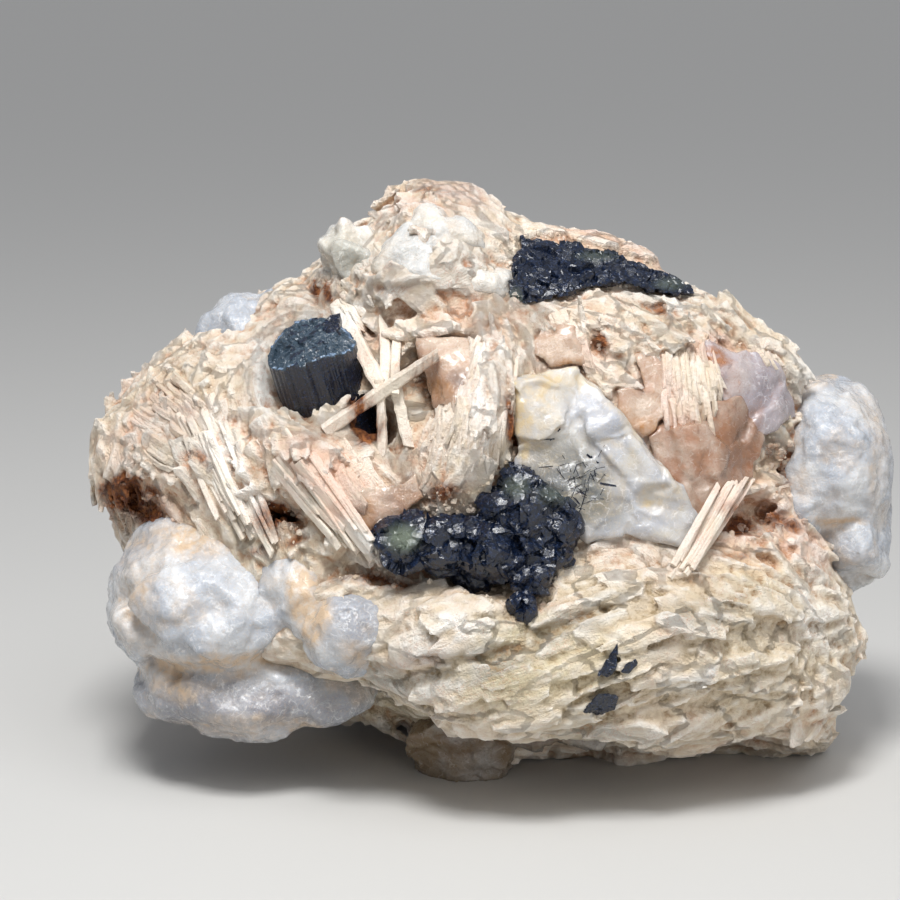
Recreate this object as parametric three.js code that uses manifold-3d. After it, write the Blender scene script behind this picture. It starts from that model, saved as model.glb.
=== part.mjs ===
// Green tourmaline on quartz: a hand-sized pegmatite specimen. A mass of platy cream albite holds
// milky and glassy quartz, striated dark green tourmaline and sprays of free albite blades.
// Millimetres, +Z up, +X to the right and +Y to the back. The origin is under the middle of the
// specimen, on the surface that it stands on.

import * as THREE from "three";
import { ConvexGeometry } from "three/addons/geometries/ConvexGeometry.js";
import { mergeVertices } from "three/addons/utils/BufferGeometryUtils.js";
import Module from "manifold-3d";

const wasm = await Module();
wasm.setup();

// Driving dimensions, in millimetres and degrees.
const bodyFrontDepth = 23;
const bodyBackDepth = 34;
const bodyBoxiness = 2.6; // 2 is an ellipsoid, more is fuller towards the rim
const bodyDetail = 8;
const bodyRoughness = 0.7;
const heelDrop = 12; // how far the underside swells down behind, before it is broken off flat
const heelStart = 0.1;
const heelSpread = 0.4;
const breakNearest = 0.82; // how near the middle of a lump its flat breaks come, of its radius
const pocketGap = 0.35;
const prismWidth = 11.4;
const prismLength = 17;
const prismSides = 30;
const striationDepth = 0.2;

// The front is laid out as it is seen from one eye point, which looks down by frontLean. A place on
// it is (across, up, deep): across and up are measured on the middle plane, and deep is the distance
// behind that plane, negative towards the eye.
const eyeDistance = 340;
const frontLean = THREE.MathUtils.degToRad(12);
const middle = new THREE.Vector3(-5.42, 1.06, 42.3);

function place(across, up, deep) {
  const spread = 1 + deep / eyeDistance;
  const right = across * spread;
  const rise = up * spread;
  return new THREE.Vector3(
    middle.x + right,
    middle.y + rise * Math.sin(frontLean) + deep * Math.cos(frontLean),
    middle.z + rise * Math.cos(frontLean) - deep * Math.sin(frontLean),
  );
}

function randomFrom(seed) {
  let state = seed >>> 0;
  return () => {
    state = (state + 0x6d2b79f5) >>> 0;
    let t = state;
    t = Math.imul(t ^ (t >>> 15), t | 1);
    t ^= t + Math.imul(t ^ (t >>> 7), t | 61);
    return ((t ^ (t >>> 14)) >>> 0) / 4294967296;
  };
}

// The albite mass: its outline on the middle plane, counted round from the right.
const outline = [
  [50.5, -6], [49.5, 6], [49.4, 12.4], [46.5, 16.6], [44, 17.8], [41.2, 21.4], [35, 22.8],
  [30.5, 25.2], [26, 28.2], [21, 29.9], [16, 30.2], [11, 31.2], [8.5, 32.4], [4, 36.2], [-1, 37.5],
  [-4.2, 36.8], [-7, 34.8], [-12, 30.8], [-18, 25], [-20, 22.6], [-23, 22.4], [-26, 20], [-30, 18],
  [-34, 16.4], [-38, 13.6], [-43, 9.4], [-47.5, 4.4], [-50.2, -1], [-49.6, -4.6], [-46, -7.6],
  [-45, -11], [-41, -15], [-37.5, -23], [-31, -28], [-22, -30.5], [-12, -31.8], [-7.6, -33.8],
  [-3, -36], [2, -38.4], [14, -38.8], [22, -39.8], [33, -41.2], [40, -39.9], [51, -38.7],
  [54, -31.5], [56, -27], [54.6, -21], [52.5, -15],
];
const outlineCentre = [5, -4];
const rimDepthTop = 5;
const rimDepthBottom = -14;
const fullTurn = 2 * Math.PI;

const outlineRays = outline
  .map(([across, up]) => {
    const x = across - outlineCentre[0];
    const y = up - outlineCentre[1];
    return { bearing: (Math.atan2(y, x) + fullTurn) % fullTurn, reach: Math.hypot(x, y) };
  })
  .sort((a, b) => a.bearing - b.bearing);

function outlineReach(bearing) {
  const turn = (bearing + fullTurn) % fullTurn;
  const found = outlineRays.findIndex((ray) => ray.bearing > turn);
  const next = outlineRays[found < 0 ? 0 : found];
  const last = found < 1 ? outlineRays.at(-1) : outlineRays[found - 1];
  const span = (next.bearing - last.bearing + fullTurn) % fullTurn;
  const share = ((turn - last.bearing + fullTurn) % fullTurn) / span;
  return last.reach + (next.reach - last.reach) * share;
}

// Swells and hollows of the front: where, half sizes, turn in degrees and height towards the eye.
const frontForms = [
  { name: "lower mass", at: [27, -27], size: [38, 15], turn: 6, height: 7 },
  { name: "cream boss", at: [-3, -25], size: [14, 7], turn: 8, height: 5 },
  { name: "lower lip", at: [6, -35], size: [15, 5], turn: 0, height: 2.5 },
  { name: "trench under the cluster", at: [-3, -16.5], size: [16, 3.5], turn: -4, height: -4 },
  { name: "fibrous rib", at: [2.5, 3.5], size: [15, 6.5], turn: 72, height: 5.5 },
  { name: "brown hollow", at: [-1, 11], size: [8, 4.5], turn: 15, height: -5 },
  { name: "hollow behind the blades", at: [-11.5, 4], size: [3.6, 3.6], turn: 0, height: -5 },
  { name: "crown", at: [-5, 28], size: [15, 9], turn: 20, height: 4 },
  { name: "step under the crown", at: [-5, 19], size: [15, 2.6], turn: 3, height: -2.5 },
  { name: "shelf of the bar", at: [21, 25.5], size: [16, 5], turn: -16, height: -3 },
  { name: "prism basin", at: [-19, 10], size: [9, 9], turn: 0, height: -2 },
  { name: "left boss", at: [-43.5, 0], size: [8, 8], turn: -30, height: 3.5 },
  { name: "left cavity", at: [-43.5, -6.6], size: [5, 2.6], turn: -5, height: -6 },
  { name: "cavity under the spray", at: [-23.5, -9.5], size: [4.5, 4], turn: -35, height: -6 },
  { name: "pink rib", at: [-17, -4], size: [17, 5], turn: -42, height: 4 },
  { name: "slope by the prism", at: [-31, 9], size: [10, 6], turn: 30, height: 2 },
  { name: "recess on the right", at: [41.5, -8.8], size: [6.5, 3], turn: -8, height: -6 },
  { name: "earthy hole", at: [46, -1.5], size: [3, 2], turn: 10, height: -4 },
  { name: "right crest", at: [45, 12], size: [9, 3.5], turn: -50, height: 2.5 },
  { name: "slope under the bar", at: [22, 17], size: [13, 4.6], turn: -8, height: 2.5 },
  { name: "triangular hole", at: [20.2, 14.6], size: [2.2, 2.2], turn: 0, height: -4 },
  { name: "right flank", at: [51, -26], size: [5, 12], turn: 0, height: -3 },
];

function formHeight(across, up) {
  let height = 0;
  for (const form of frontForms) {
    const turn = THREE.MathUtils.degToRad(form.turn);
    const x = across - form.at[0];
    const y = up - form.at[1];
    const alongForm = (x * Math.cos(turn) + y * Math.sin(turn)) / form.size[0];
    const overForm = (-x * Math.sin(turn) + y * Math.cos(turn)) / form.size[1];
    const away = alongForm * alongForm + overForm * overForm;
    if (away < 1) height += form.height * (1 - away) ** 1.5;
  }
  return height;
}

function rimDepth(bearing, out) {
  const downward = Math.max(0, -Math.sin(bearing));
  return (rimDepthTop + (rimDepthBottom - rimDepthTop) * downward ** 1.4) * out * out;
}

function fullness(out) {
  return Math.max(0, 1 - out ** bodyBoxiness) ** (1 / bodyBoxiness);
}

// How deep the front of the albite lies at a place across and up.
function frontDepth(across, up) {
  const x = across - outlineCentre[0];
  const y = up - outlineCentre[1];
  const bearing = Math.atan2(y, x);
  const out = Math.min(1, Math.hypot(x, y) / outlineReach(bearing));
  return rimDepth(bearing, out) - (bodyFrontDepth + formHeight(across, up)) * fullness(out);
}

// A place on the front, standing proud of it towards the eye, or sunk in it if proud is negative.
function onFront(across, up, proud) {
  return place(across, up, frontDepth(across, up) - proud);
}

// The back is broken off along a few flat faces: the way that each one faces, and how far it is
// from the middle.
const backBreaks = [
  { toward: [0.1, 1, 0.02], reach: 31.5 },
  { toward: [-0.5, 0.8, 0.35], reach: 35 },
  { toward: [0.55, 0.8, 0.25], reach: 39 },
  { toward: [0.1, 0.72, 0.7], reach: 33.5 },
  { toward: [-0.9, 0.5, -0.1], reach: 43 },
  { toward: [-0.55, 0.45, 0.7], reach: 34.5 },
  { toward: [0.62, 0.3, 0.72], reach: 37.5 },
  { toward: [0.9, 0.45, -0.1], reach: 50 },
  { toward: [-0.55, 0.7, -0.4], reach: 40 },
  { toward: [0.5, 0.75, -0.4], reach: 44 },
  { toward: [0.3, 0.5, 0.85], reach: 35 },
  { toward: [-0.2, 0.9, 0.5], reach: 33 },
].map(({ toward, reach }) => ({ toward: new THREE.Vector3(...toward).normalize(), reach }));

// Solids and geometries.

function solidOf(geometry) {
  const bare = geometry.index ? geometry.toNonIndexed() : geometry.clone();
  bare.deleteAttribute("normal");
  bare.deleteAttribute("uv");
  const merged = mergeVertices(bare, 1e-3);
  return new wasm.Manifold(
    new wasm.Mesh({
      numProp: 3,
      vertProperties: new Float32Array(merged.attributes.position.array),
      triVerts: new Uint32Array(merged.index.array),
    }),
  );
}

function geometryOf(solid) {
  const mesh = solid.getMesh();
  const count = mesh.numProp;
  const positions = new Float32Array(mesh.numVert * 3);
  for (let i = 0; i < mesh.numVert; i += 1) {
    positions.set(mesh.vertProperties.subarray(i * count, i * count + 3), i * 3);
  }
  const geometry = new THREE.BufferGeometry();
  geometry.setAttribute("position", new THREE.BufferAttribute(positions, 3));
  geometry.setIndex(new THREE.BufferAttribute(new Uint32Array(mesh.triVerts), 1));
  return geometry;
}

function joined(solids) {
  return solids.reduce((whole, next) => whole.add(next));
}

// Moves every vertex of a geometry by a function of its position.
function moved(geometry, move) {
  const bare = geometry.clone();
  bare.deleteAttribute("normal");
  bare.deleteAttribute("uv");
  const shaped = mergeVertices(bare, 1e-4);
  const positions = shaped.attributes.position;
  const point = new THREE.Vector3();
  for (let i = 0; i < positions.count; i += 1) {
    point.fromBufferAttribute(positions, i);
    const next = move(point);
    positions.setXYZ(i, next.x, next.y, next.z);
  }
  return shaped;
}

// Smooth uneven bumps, from a few waves in fixed directions.
function unevenness(point, size, seed) {
  const random = randomFrom(seed);
  let total = 0;
  for (let i = 0; i < 7; i += 1) {
    const wave = new THREE.Vector3(random() - 0.5, random() - 0.5, random() - 0.5).normalize();
    const length = size * (0.6 + random());
    total += Math.sin((point.dot(wave) * fullTurn) / length + random() * fullTurn);
  }
  return total / 3;
}

// The hull round some points, grown on every side: the room that a small piece needs in the rock.
function hull(points, grow = 0) {
  const corners = [-grow, grow].flatMap((x) =>
    [-grow, grow].flatMap((y) => [-grow, grow].map((z) => new THREE.Vector3(x, y, z))),
  );
  const outer = grow ? points.flatMap((point) => corners.map((c) => point.clone().add(c))) : points;
  return solidOf(new ConvexGeometry(outer));
}

function blocksOf(lists) {
  return (grow) => joined(lists.map((points) => hull(points, grow)));
}

// A lump of rock round a point, with radii across, deep and up, and with some flat breaks.
function lump({ at, radii, turn = 0, seed, rough = 0.6, detail = 1 }, grow = 0) {
  const random = randomFrom(seed);
  const cuts = Array.from({ length: 16 }, () => ({
    toward: new THREE.Vector3(random() - 0.5, random() - 0.5, random() - 0.5).normalize(),
    limit: breakNearest + random() * (1 - breakNearest),
  }));
  const spin = new THREE.Quaternion().setFromAxisAngle(
    new THREE.Vector3(0, -1, 0),
    THREE.MathUtils.degToRad(turn),
  );
  const geometry = moved(new THREE.IcosahedronGeometry(1, detail), (direction) => {
    const facing = cuts.map((cut) => cut.limit / Math.max(direction.dot(cut.toward), 0.01));
    const swell = (unevenness(direction, 0.8, seed) * rough) / radii[0] / 4;
    return new THREE.Vector3(...radii)
      .addScalar(grow)
      .multiply(direction)
      .multiplyScalar(Math.min(1, ...facing) + swell)
      .applyQuaternion(spin)
      .add(at);
  });
  return solidOf(geometry);
}

function lumpsOf(list) {
  return (grow) => joined(list.map((one) => lump(one, grow)));
}

// The corners of a flat blade with a chisel end, from one place to another. Its face turns away
// from the eye by roll.
function bladePoints({ from, to, wide, thick, roll = 0 }) {
  const start = onFront(...from);
  const along = onFront(...to).sub(start);
  const length = along.length();
  const forward = along.normalize();
  const toEye = new THREE.Vector3(0, -Math.cos(frontLean), Math.sin(frontLean));
  const angle = THREE.MathUtils.degToRad(roll);
  const flatSide = new THREE.Vector3().crossVectors(toEye, forward).normalize();
  const face = new THREE.Vector3().crossVectors(forward, flatSide);
  const side = flatSide.multiplyScalar(Math.cos(angle)).addScaledVector(face, Math.sin(angle));
  face.crossVectors(forward, side);
  const half = wide / 2;
  const profile = [
    [0, -half], [length * 0.88, -half], [length, half * 0.2], [length * 0.95, half], [0, half],
  ];
  return [-thick / 2, thick / 2].flatMap((z) =>
    profile.map(([x, y]) =>
      start.clone().addScaledVector(forward, x).addScaledVector(side, y).addScaledVector(face, z),
    ),
  );
}

// A fan of blades. The blades run from a line of roots to a line of tips, and each line goes from
// one place to another.
function fan({ roots, tips, count, wide, thick, rolls, seed }) {
  const random = randomFrom(seed);
  const between = (from, to, share) => from.map((value, i) => value + (to[i] - value) * share);
  return Array.from({ length: count }, (_, i) => {
    const share = (i + 0.3 + random() * 0.4) / count;
    const from = between(...roots, share);
    return {
      from,
      to: between(from, between(...tips, share), 0.82 + random() * 0.2),
      wide: wide * (0.75 + random() * 0.5),
      thick: thick * (0.8 + random() * 0.4),
      roll: rolls[0] + (rolls[1] - rolls[0]) * random(),
    };
  });
}

// Cleavage ledges: plates that stand a little out of the lower mass, lying along its bedding.
const ledges = [
  { at: [7, -30.5], long: 15, high: 1.5, turn: 9 },
  { at: [9, -35.4], long: 12, high: 1.7, turn: 4 },
  { at: [22, -18.5], long: 14, high: 1.5, turn: 21 },
  { at: [33, -22.4], long: 13, high: 1.6, turn: 11 },
  { at: [34, -28.6], long: 14, high: 1.7, turn: 6 },
  { at: [31, -35.4], long: 15, high: 1.8, turn: 1 },
  { at: [46.5, -20.5], long: 7, high: 1.8, turn: -3 },
  { at: [45.5, -30.5], long: 8, high: 2, turn: 3 },
];
const ledgeProud = 1.3;
const ledgeSunk = -5;

function ledge({ at, long, high, turn }) {
  const angle = THREE.MathUtils.degToRad(turn);
  const corner = (x, y, proud) =>
    onFront(
      at[0] + x * Math.cos(angle) - y * Math.sin(angle),
      at[1] + x * Math.sin(angle) + y * Math.cos(angle),
      proud,
    );
  return hull([
    corner(-long, 0, -0.5), corner(-long * 0.5, -high, ledgeProud * 0.7),
    corner(long * 0.4, -high, ledgeProud), corner(long, 0, -0.5),
    corner(long * 0.7, high, -0.2), corner(-long * 0.6, high, -0.2),
    corner(-long * 0.8, 0, ledgeSunk), corner(long * 0.8, 0, ledgeSunk),
  ]);
}

function albiteBody() {
  const geometry = moved(new THREE.IcosahedronGeometry(1, bodyDetail), (direction) => {
    const out = Math.hypot(direction.x, direction.z);
    const bearing = Math.atan2(direction.z, direction.x);
    const reach = outlineReach(bearing) * out;
    const across = outlineCentre[0] + reach * Math.cos(bearing);
    const up = outlineCentre[1] + reach * Math.sin(bearing);
    const behind = Math.max(0, direction.y);
    const depth = behind
      ? bodyBackDepth * fullness(out)
      : -(bodyFrontDepth + formHeight(across, up)) * fullness(out);
    const point = place(across, up, rimDepth(bearing, out) + depth);
    const heel = Math.min(1, Math.max(0, (behind - heelStart) / heelSpread));
    point.z -= heelDrop * Math.max(0, -direction.z) * heel;
    const rough = unevenness(point, 15, 7) + unevenness(point, 8, 21) * 0.6;
    const outward = point.clone().sub(middle);
    for (const { toward, reach: limit } of backBreaks) {
      const beyond = outward.dot(toward) - limit;
      if (beyond > 0) outward.addScaledVector(toward, -beyond * 0.93);
    }
    const rougher = 1 + rough * bodyRoughness / outward.length();
    return outward.multiplyScalar(rougher).add(middle);
  });
  return joined([solidOf(geometry), ...ledges.map(ledge)]);
}

// Everything below the standing surface is broken off flat.
function cutAtFloor(solid) {
  const below = new THREE.BoxGeometry(200, 200, 60).translate(0, 0, -30);
  return solid.subtract(solidOf(below));
}

// Quartz.

const leftQuartz = [
  { at: place(-33, -20, -8), radii: [12.8, 15, 9.4], turn: -12, seed: 11, rough: 0.8, detail: 2 },
  { at: place(-39.5, -20.5, -2), radii: [6.4, 14, 8.8], seed: 12, rough: 0.7 },
  { at: place(-34, -12.4, -7), radii: [10, 11, 4.4], turn: 4, seed: 13 },
  { at: place(-27, -31.4, -7), radii: [12.9, 13, 7.8], turn: 2, seed: 14, rough: 0.8 },
  { at: place(-37, -31, -2), radii: [5.8, 13, 6.8], turn: 20, seed: 15 },
  { at: place(-18, -33, -8), radii: [8, 11, 4.8], turn: 8, seed: 17 },
  { at: onFront(-13.4, -24.2, -3.4), radii: [5.8, 6.4, 5.4], turn: 12, seed: 18 },
  { at: onFront(-20.5, -19, -2.6), radii: [5, 6, 6], turn: 20, seed: 19 },
];
const rightQuartz = [
  { at: place(49.5, -3, -1), radii: [10.6, 13, 14], turn: 14, seed: 31, rough: 0.9, detail: 2 },
  { at: place(53, 1, 6), radii: [6.4, 11, 9.6], turn: 14, seed: 32 },
  { at: place(53.6, -11, 1), radii: [6.9, 11, 9.6], turn: -4, seed: 33 },
];
const knobQuartz = [
  { at: place(-28.8, 16.6, -2), radii: [6, 8, 5.4], turn: 22, seed: 41 },
];
const crownQuartz = [
  { at: onFront(3, 23, -2.4), radii: [8, 4.4, 4.2], turn: -4, seed: 45 },
  { at: onFront(-4, 26, -2.6), radii: [7, 4.4, 4.4], turn: 20, seed: 46 },
];
const footBlocks = [
  [
    [-5, -39.4, -6], [-1.5, -36, -8], [7.5, -37, -8], [9, -39.2, -7], [6.5, -43.6, -5],
    [2.5, -45.6, -5], [-2, -45.4, -3], [-4.6, -42, -4], [-4, -36, 8], [8, -36, 8], [6, -47.4, 4],
    [-2, -47.4, 4],
  ],
  [
    [5, -38, -8], [8, -40.4, -8], [13.5, -40.2, -9], [15, -38.6, -9], [18, -36, -6], [18, -36, 4],
    [6, -38, 4], [12, -41, 0],
  ],
  [
    [12, -38.6, -11], [16.5, -40.4, -11], [19.6, -41, -11], [21.8, -39.4, -11], [20, -36, -8],
    [12, -36, -6], [20, -38, 0], [12, -38, 0],
  ],
].map((spots) => spots.map((spot) => place(...spot)));
const frontQuartzBlocks = [
  // The pale smooth break in the middle of the front.
  [
    [8.2, 9.2, 0.6], [12.4, 10.6, 0.8], [17.5, 11.2, 0.8], [22.5, 6, 2.2], [28, -1, 2.6],
    [33.6, -8.4, 2], [31.5, -12.6, 1], [25, -10, 1.6], [19, -12.4, 1], [9, -3.6, 0.8],
    [10, 8, -9], [22, 6, -9], [32, -10, -9], [12, -8, -9],
  ],
  // The amber block beside it.
  [
    [23, 9.2, 0.4], [28.2, 7, 1.4], [35, 5.4, 2], [40, 7.6, 1.2], [42.4, 2, 1], [41, -4.4, 0.6],
    [36, -10, 0.8], [33, -9, 1.2], [26, 1.8, -0.4], [24, 0, -8], [26, 8, -8], [40, 6, -8],
    [32, -9, -8],
  ],
  // The lilac grey face that leads up to the crest.
  [
    [34.6, 14.6, 0.3], [40.6, 14.4, 0.8], [44.5, 12.4, 0.6], [46.6, 8, 0.8], [47.4, 5, 0.6],
    [43, 2, 0.6], [38, 4, 0.6], [36.6, 10.6, 0.8], [38, 12, -7], [46, 6, -7], [40, 3, -7],
  ],
].map((spots) => spots.map((spot) => onFront(...spot)));

// Tourmaline.

const prismTop = onFront(-19.4, 14.9, 4.6);
const prismAxis = new THREE.Vector3(-0.225, -0.35, 0.91).normalize();
const prismUpright = new THREE.Matrix4().compose(
  prismTop,
  new THREE.Quaternion().setFromUnitVectors(new THREE.Vector3(0, 0, 1), prismAxis),
  new THREE.Vector3(1, 1, 1),
);
// The end is broken off in two slopes that meet in a low ridge: shift from the axis, and tilt.
const prismEndBreaks = [
  [3.4, 24], [-3.8, -18],
];
// The small second crystal that stands up behind the corner of the first.
const prismChip = [
  [-17.8, 17, 1.6], [-16.2, 18.4, 1.8], [-14.9, 18.7, 1.8], [-15.3, 17, 2.6], [-16.6, 16.2, 3],
  [-17, 12, 1], [-14.6, 13, 1], [-14.8, 16, -2], [-17.4, 15, -2],
].map((spot) => onFront(...spot));

// A rounded three-sided section with fine ridges, as tourmaline grows.
function prismSection() {
  const points = Array.from({ length: prismSides }, (_, i) => {
    const bearing = (i / prismSides) * fullTurn;
    const threeSided = 1 + 0.055 * Math.cos(3 * bearing + 0.6);
    const radius = (prismWidth / 2) * threeSided - (i % 2) * striationDepth;
    return new THREE.Vector2(radius * Math.cos(bearing), radius * Math.sin(bearing));
  });
  return new THREE.Shape(points);
}

function prismPocket(grow) {
  const radius = prismWidth / 2 + grow + 0.25;
  const height = prismLength + 2 * grow;
  const round = new THREE.CylinderGeometry(radius, radius, height, 14);
  round.rotateX(Math.PI / 2);
  round.translate(0, 0, -prismLength / 2);
  round.applyMatrix4(prismUpright);
  return joined([solidOf(round), hull(prismChip, grow)]);
}

function prism() {
  const settings = { depth: prismLength, bevelEnabled: false };
  const geometry = new THREE.ExtrudeGeometry(prismSection(), settings);
  geometry.translate(0, 0, -prismLength);
  geometry.applyMatrix4(prismUpright);
  const whole = joined([solidOf(geometry), hull(prismChip)]);
  return prismEndBreaks.reduce((left, [shift, tilt]) => {
    const wedge = new THREE.BoxGeometry(20, 20, 10).translate(0, 0, 5);
    wedge.rotateY(THREE.MathUtils.degToRad(tilt));
    wedge.translate(shift, 0, -0.6);
    wedge.applyMatrix4(prismUpright);
    return left.subtract(solidOf(wedge));
  }, whole);
}

const barBlocks = [
  [
    [9.8, 29, 0.8], [8.6, 24.6, 1.8], [7.9, 20.6, 1], [10.2, 19.8, 1], [13.4, 21.8, 1.6],
    [16.4, 21.4, 1.4], [19.6, 22.4, 1.6], [18, 27.8, 1.6], [14, 28.6, 1.2], [10, 24, -5],
    [18, 23, -5],
  ],
  [
    [15, 28.2, 1], [22.2, 27.3, 1], [25.4, 25.4, 1.6], [27, 23.4, 1.6], [22, 22.6, 1.6],
    [16, 21.6, 1.4], [17, 24, -5], [26, 23, -5],
  ],
  [
    [23, 26.4, 1], [30, 24, 1.2], [32.6, 22.6, 1], [33.4, 21.2, 1], [30, 21.2, 1.2],
    [24, 22.6, 1.4], [24, 23, -5], [31, 21, -4],
  ],
].map((spots) => spots.map((spot) => onFront(...spot)));
const clusterCrystals = [
  { at: onFront(-5.6, -12.7, 1), radii: [4.6, 4, 3.9], turn: -8, seed: 61 },
  { at: onFront(-0.4, -13, 1), radii: [5.1, 4, 3.9], turn: -8, seed: 62 },
  { at: onFront(5.4, -13.6, 1), radii: [5.5, 4.4, 3.9], turn: -12, seed: 63 },
  { at: onFront(8.2, -8.8, 0.4), radii: [4.9, 4, 3.7], turn: -25, seed: 64 },
  { at: onFront(12.6, -10.4, 0.4), radii: [5.1, 4.2, 4.9], turn: -20, seed: 65 },
  { at: onFront(9.6, -4.6, 0.4), radii: [2.9, 2.7, 2.3], seed: 66, detail: 0 },
  { at: onFront(12.6, -14.6, 0.6), radii: [4.5, 3, 2.2], turn: 16, seed: 67, detail: 0 },
];
const clusterBeads = [
  { at: onFront(2.8, -17.6, 1.2), radii: [2.8, 2.6, 2.2], turn: -6, seed: 71, detail: 0 },
  { at: onFront(11.2, -17.9, 1), radii: [3, 2.8, 2.6], turn: 14, seed: 72, detail: 0 },
  { at: onFront(9.6, -21.2, 0.8), radii: [2.2, 2.2, 2.1], turn: 20, seed: 73, detail: 0 },
];
const chips = {
  tourmaline_chip_upper: [
    [22.9, -26, 0.6], [20.1, -30.6, 0.5], [21.5, -30.9, 0.6], [22.7, -29.8, 0.8],
    [22.4, -27, -3], [20.8, -30, -3], [22, -30, -3],
  ],
  tourmaline_chip_side: [
    [25.3, -28.4, 0.5], [25.6, -29.2, 0.6], [24.4, -30.4, 0.6], [23.1, -30.3, 0.5],
    [23.9, -29.2, 0.6], [24.6, -29.2, -2.6], [24.2, -30, -2.6],
  ],
  tourmaline_chip_lower: [
    [17.9, -35.8, 0.5], [20.2, -33, 0.8], [21.8, -33.9, 0.9], [23, -33.4, 0.5], [22.4, -35.2, 0.7],
    [20.2, -36.2, 0.5], [19.4, -35, -3], [22, -34.6, -3],
  ],
};

// Albite blades that stand free. The lattice crosses over a hollow beside the prism.

const latticeBlades = [
  { from: [-17, 2.6, 0.6], to: [-1.6, 13, 6], wide: 1.8, thick: 1.5, roll: 20 },
  { from: [-15.5, 20, -1], to: [-9.4, 8.6, 2], wide: 2, thick: 1, roll: 15 },
  { from: [-9.2, 18.6, -1.5], to: [-9, 8, 2], wide: 1.3, thick: 0.9, roll: -10 },
  { from: [-6.9, 17.5, -1.5], to: [-7.4, 7.5, 2], wide: 1.2, thick: 0.9, roll: 10 },
  { from: [-9.6, 9.6, 2], to: [-9.2, -1, -1], wide: 1.2, thick: 0.9, roll: 20 },
  { from: [-7.6, 9.8, 2], to: [-5.6, 0.5, -1], wide: 1.5, thick: 0.9, roll: 0 },
];
const sprays = {
  blade_spray_left: {
    roots: [[-38, 5, 0.6], [-30, 6, 1]],
    tips: [[-29.5, -12, 1.4], [-22.5, -14, 2.6]],
    count: 6, wide: 1.9, thick: 0.9, rolls: [-20, 25], seed: 81,
  },
  blade_spray_middle: {
    roots: [[-26, 0, 0.8], [-21, 3, 1]],
    tips: [[-15, -12.5, 1.8], [-8.8, -15.2, 2.8]],
    count: 4, wide: 2.4, thick: 1, rolls: [-15, 25], seed: 82,
  },
  blade_spray_right: {
    roots: [[29.6, -16.8, 0.8], [33.6, -15.6, 1]],
    tips: [[36.5, -5, 1.8], [41.2, -3.6, 1.2]],
    count: 5, wide: 1.6, thick: 0.8, rolls: [10, 35], seed: 88,
  },
};
const backingDepth = 2.5;
const backingShare = 0.75;

// The blades of a spray grow from a slab behind them, which holds them over most of their length.
function spray(blades, grow = 0) {
  const each = fan(blades);
  const slab = each.flatMap(({ from, to }) => {
    const far = from.map((value, i) => value + (to[i] - value) * backingShare);
    return [from, far].flatMap(([across, up, proud]) => [
      onFront(across, up, proud), onFront(across, up, proud - backingDepth),
    ]);
  });
  const points = each.map(bladePoints);
  if (grow) return hull([...slab, ...points.flat()], grow);
  return joined([hull(slab), ...points.map((corners) => hull(corners))]);
}

// Finishes.

const looks = {
  albite: { color: 0xe9d5bf, roughness: 0.85 },
  blade: { color: 0xf1e4d2, roughness: 0.7 },
  milkyQuartz: { color: 0xe4e6ea, roughness: 0.4 },
  glassyQuartz: { color: 0xd9c6b4, roughness: 0.3 },
  tourmaline: { color: 0x10191c, roughness: 0.35 },
};

// The pieces. Each one is cut by the pockets of those before it, so the albite fits round them all.

const pieces = [
  { name: "tourmaline_prism", look: "tourmaline", make: prism, pocket: prismPocket },
  { name: "tourmaline_bar", look: "tourmaline", make: blocksOf(barBlocks) },
  { name: "tourmaline_cluster", look: "tourmaline", make: lumpsOf([...clusterCrystals, ...clusterBeads]) },
  ...Object.entries(chips).map(([name, spots]) => ({
    name,
    look: "tourmaline",
    make: blocksOf([spots.map((spot) => onFront(...spot))]),
  })),
  { name: "blade_lattice", look: "blade", make: blocksOf(latticeBlades.map(bladePoints)) },
  ...Object.entries(sprays).map(([name, blades]) => ({
    name,
    look: "blade",
    make: (grow) => spray(blades, grow),
  })),
  { name: "milky_quartz_left", look: "milkyQuartz", make: lumpsOf(leftQuartz) },
  { name: "milky_quartz_right", look: "milkyQuartz", make: lumpsOf(rightQuartz) },
  { name: "milky_quartz_knob", look: "milkyQuartz", make: lumpsOf(knobQuartz) },
  { name: "milky_quartz_crown", look: "milkyQuartz", make: lumpsOf(crownQuartz) },
  { name: "glassy_quartz_front", look: "glassyQuartz", make: blocksOf(frontQuartzBlocks) },
  { name: "quartz_foot", look: "glassyQuartz", make: blocksOf(footBlocks) },
  { name: "albite_matrix", look: "albite", make: albiteBody },
];

function largestBody(solid) {
  return solid.decompose().reduce((best, next) => (next.volume() > best.volume() ? next : best));
}

const specimen = new THREE.Group();
const pockets = [];
for (const { name, look, make, pocket = make } of pieces) {
  const solid = pockets.reduce((left, taken) => left.subtract(taken), cutAtFloor(make()));
  pockets.push(pocket(pocketGap));
  const finish = new THREE.MeshStandardMaterial({ ...looks[look], flatShading: true });
  const mesh = new THREE.Mesh(geometryOf(largestBody(solid)), finish);
  mesh.name = name;
  specimen.add(mesh);
}

export default specimen;
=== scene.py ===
import math
import random

import bmesh
import bpy
import numpy as np
from mathutils import Matrix, Vector
from mathutils.bvhtree import BVHTree


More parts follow.
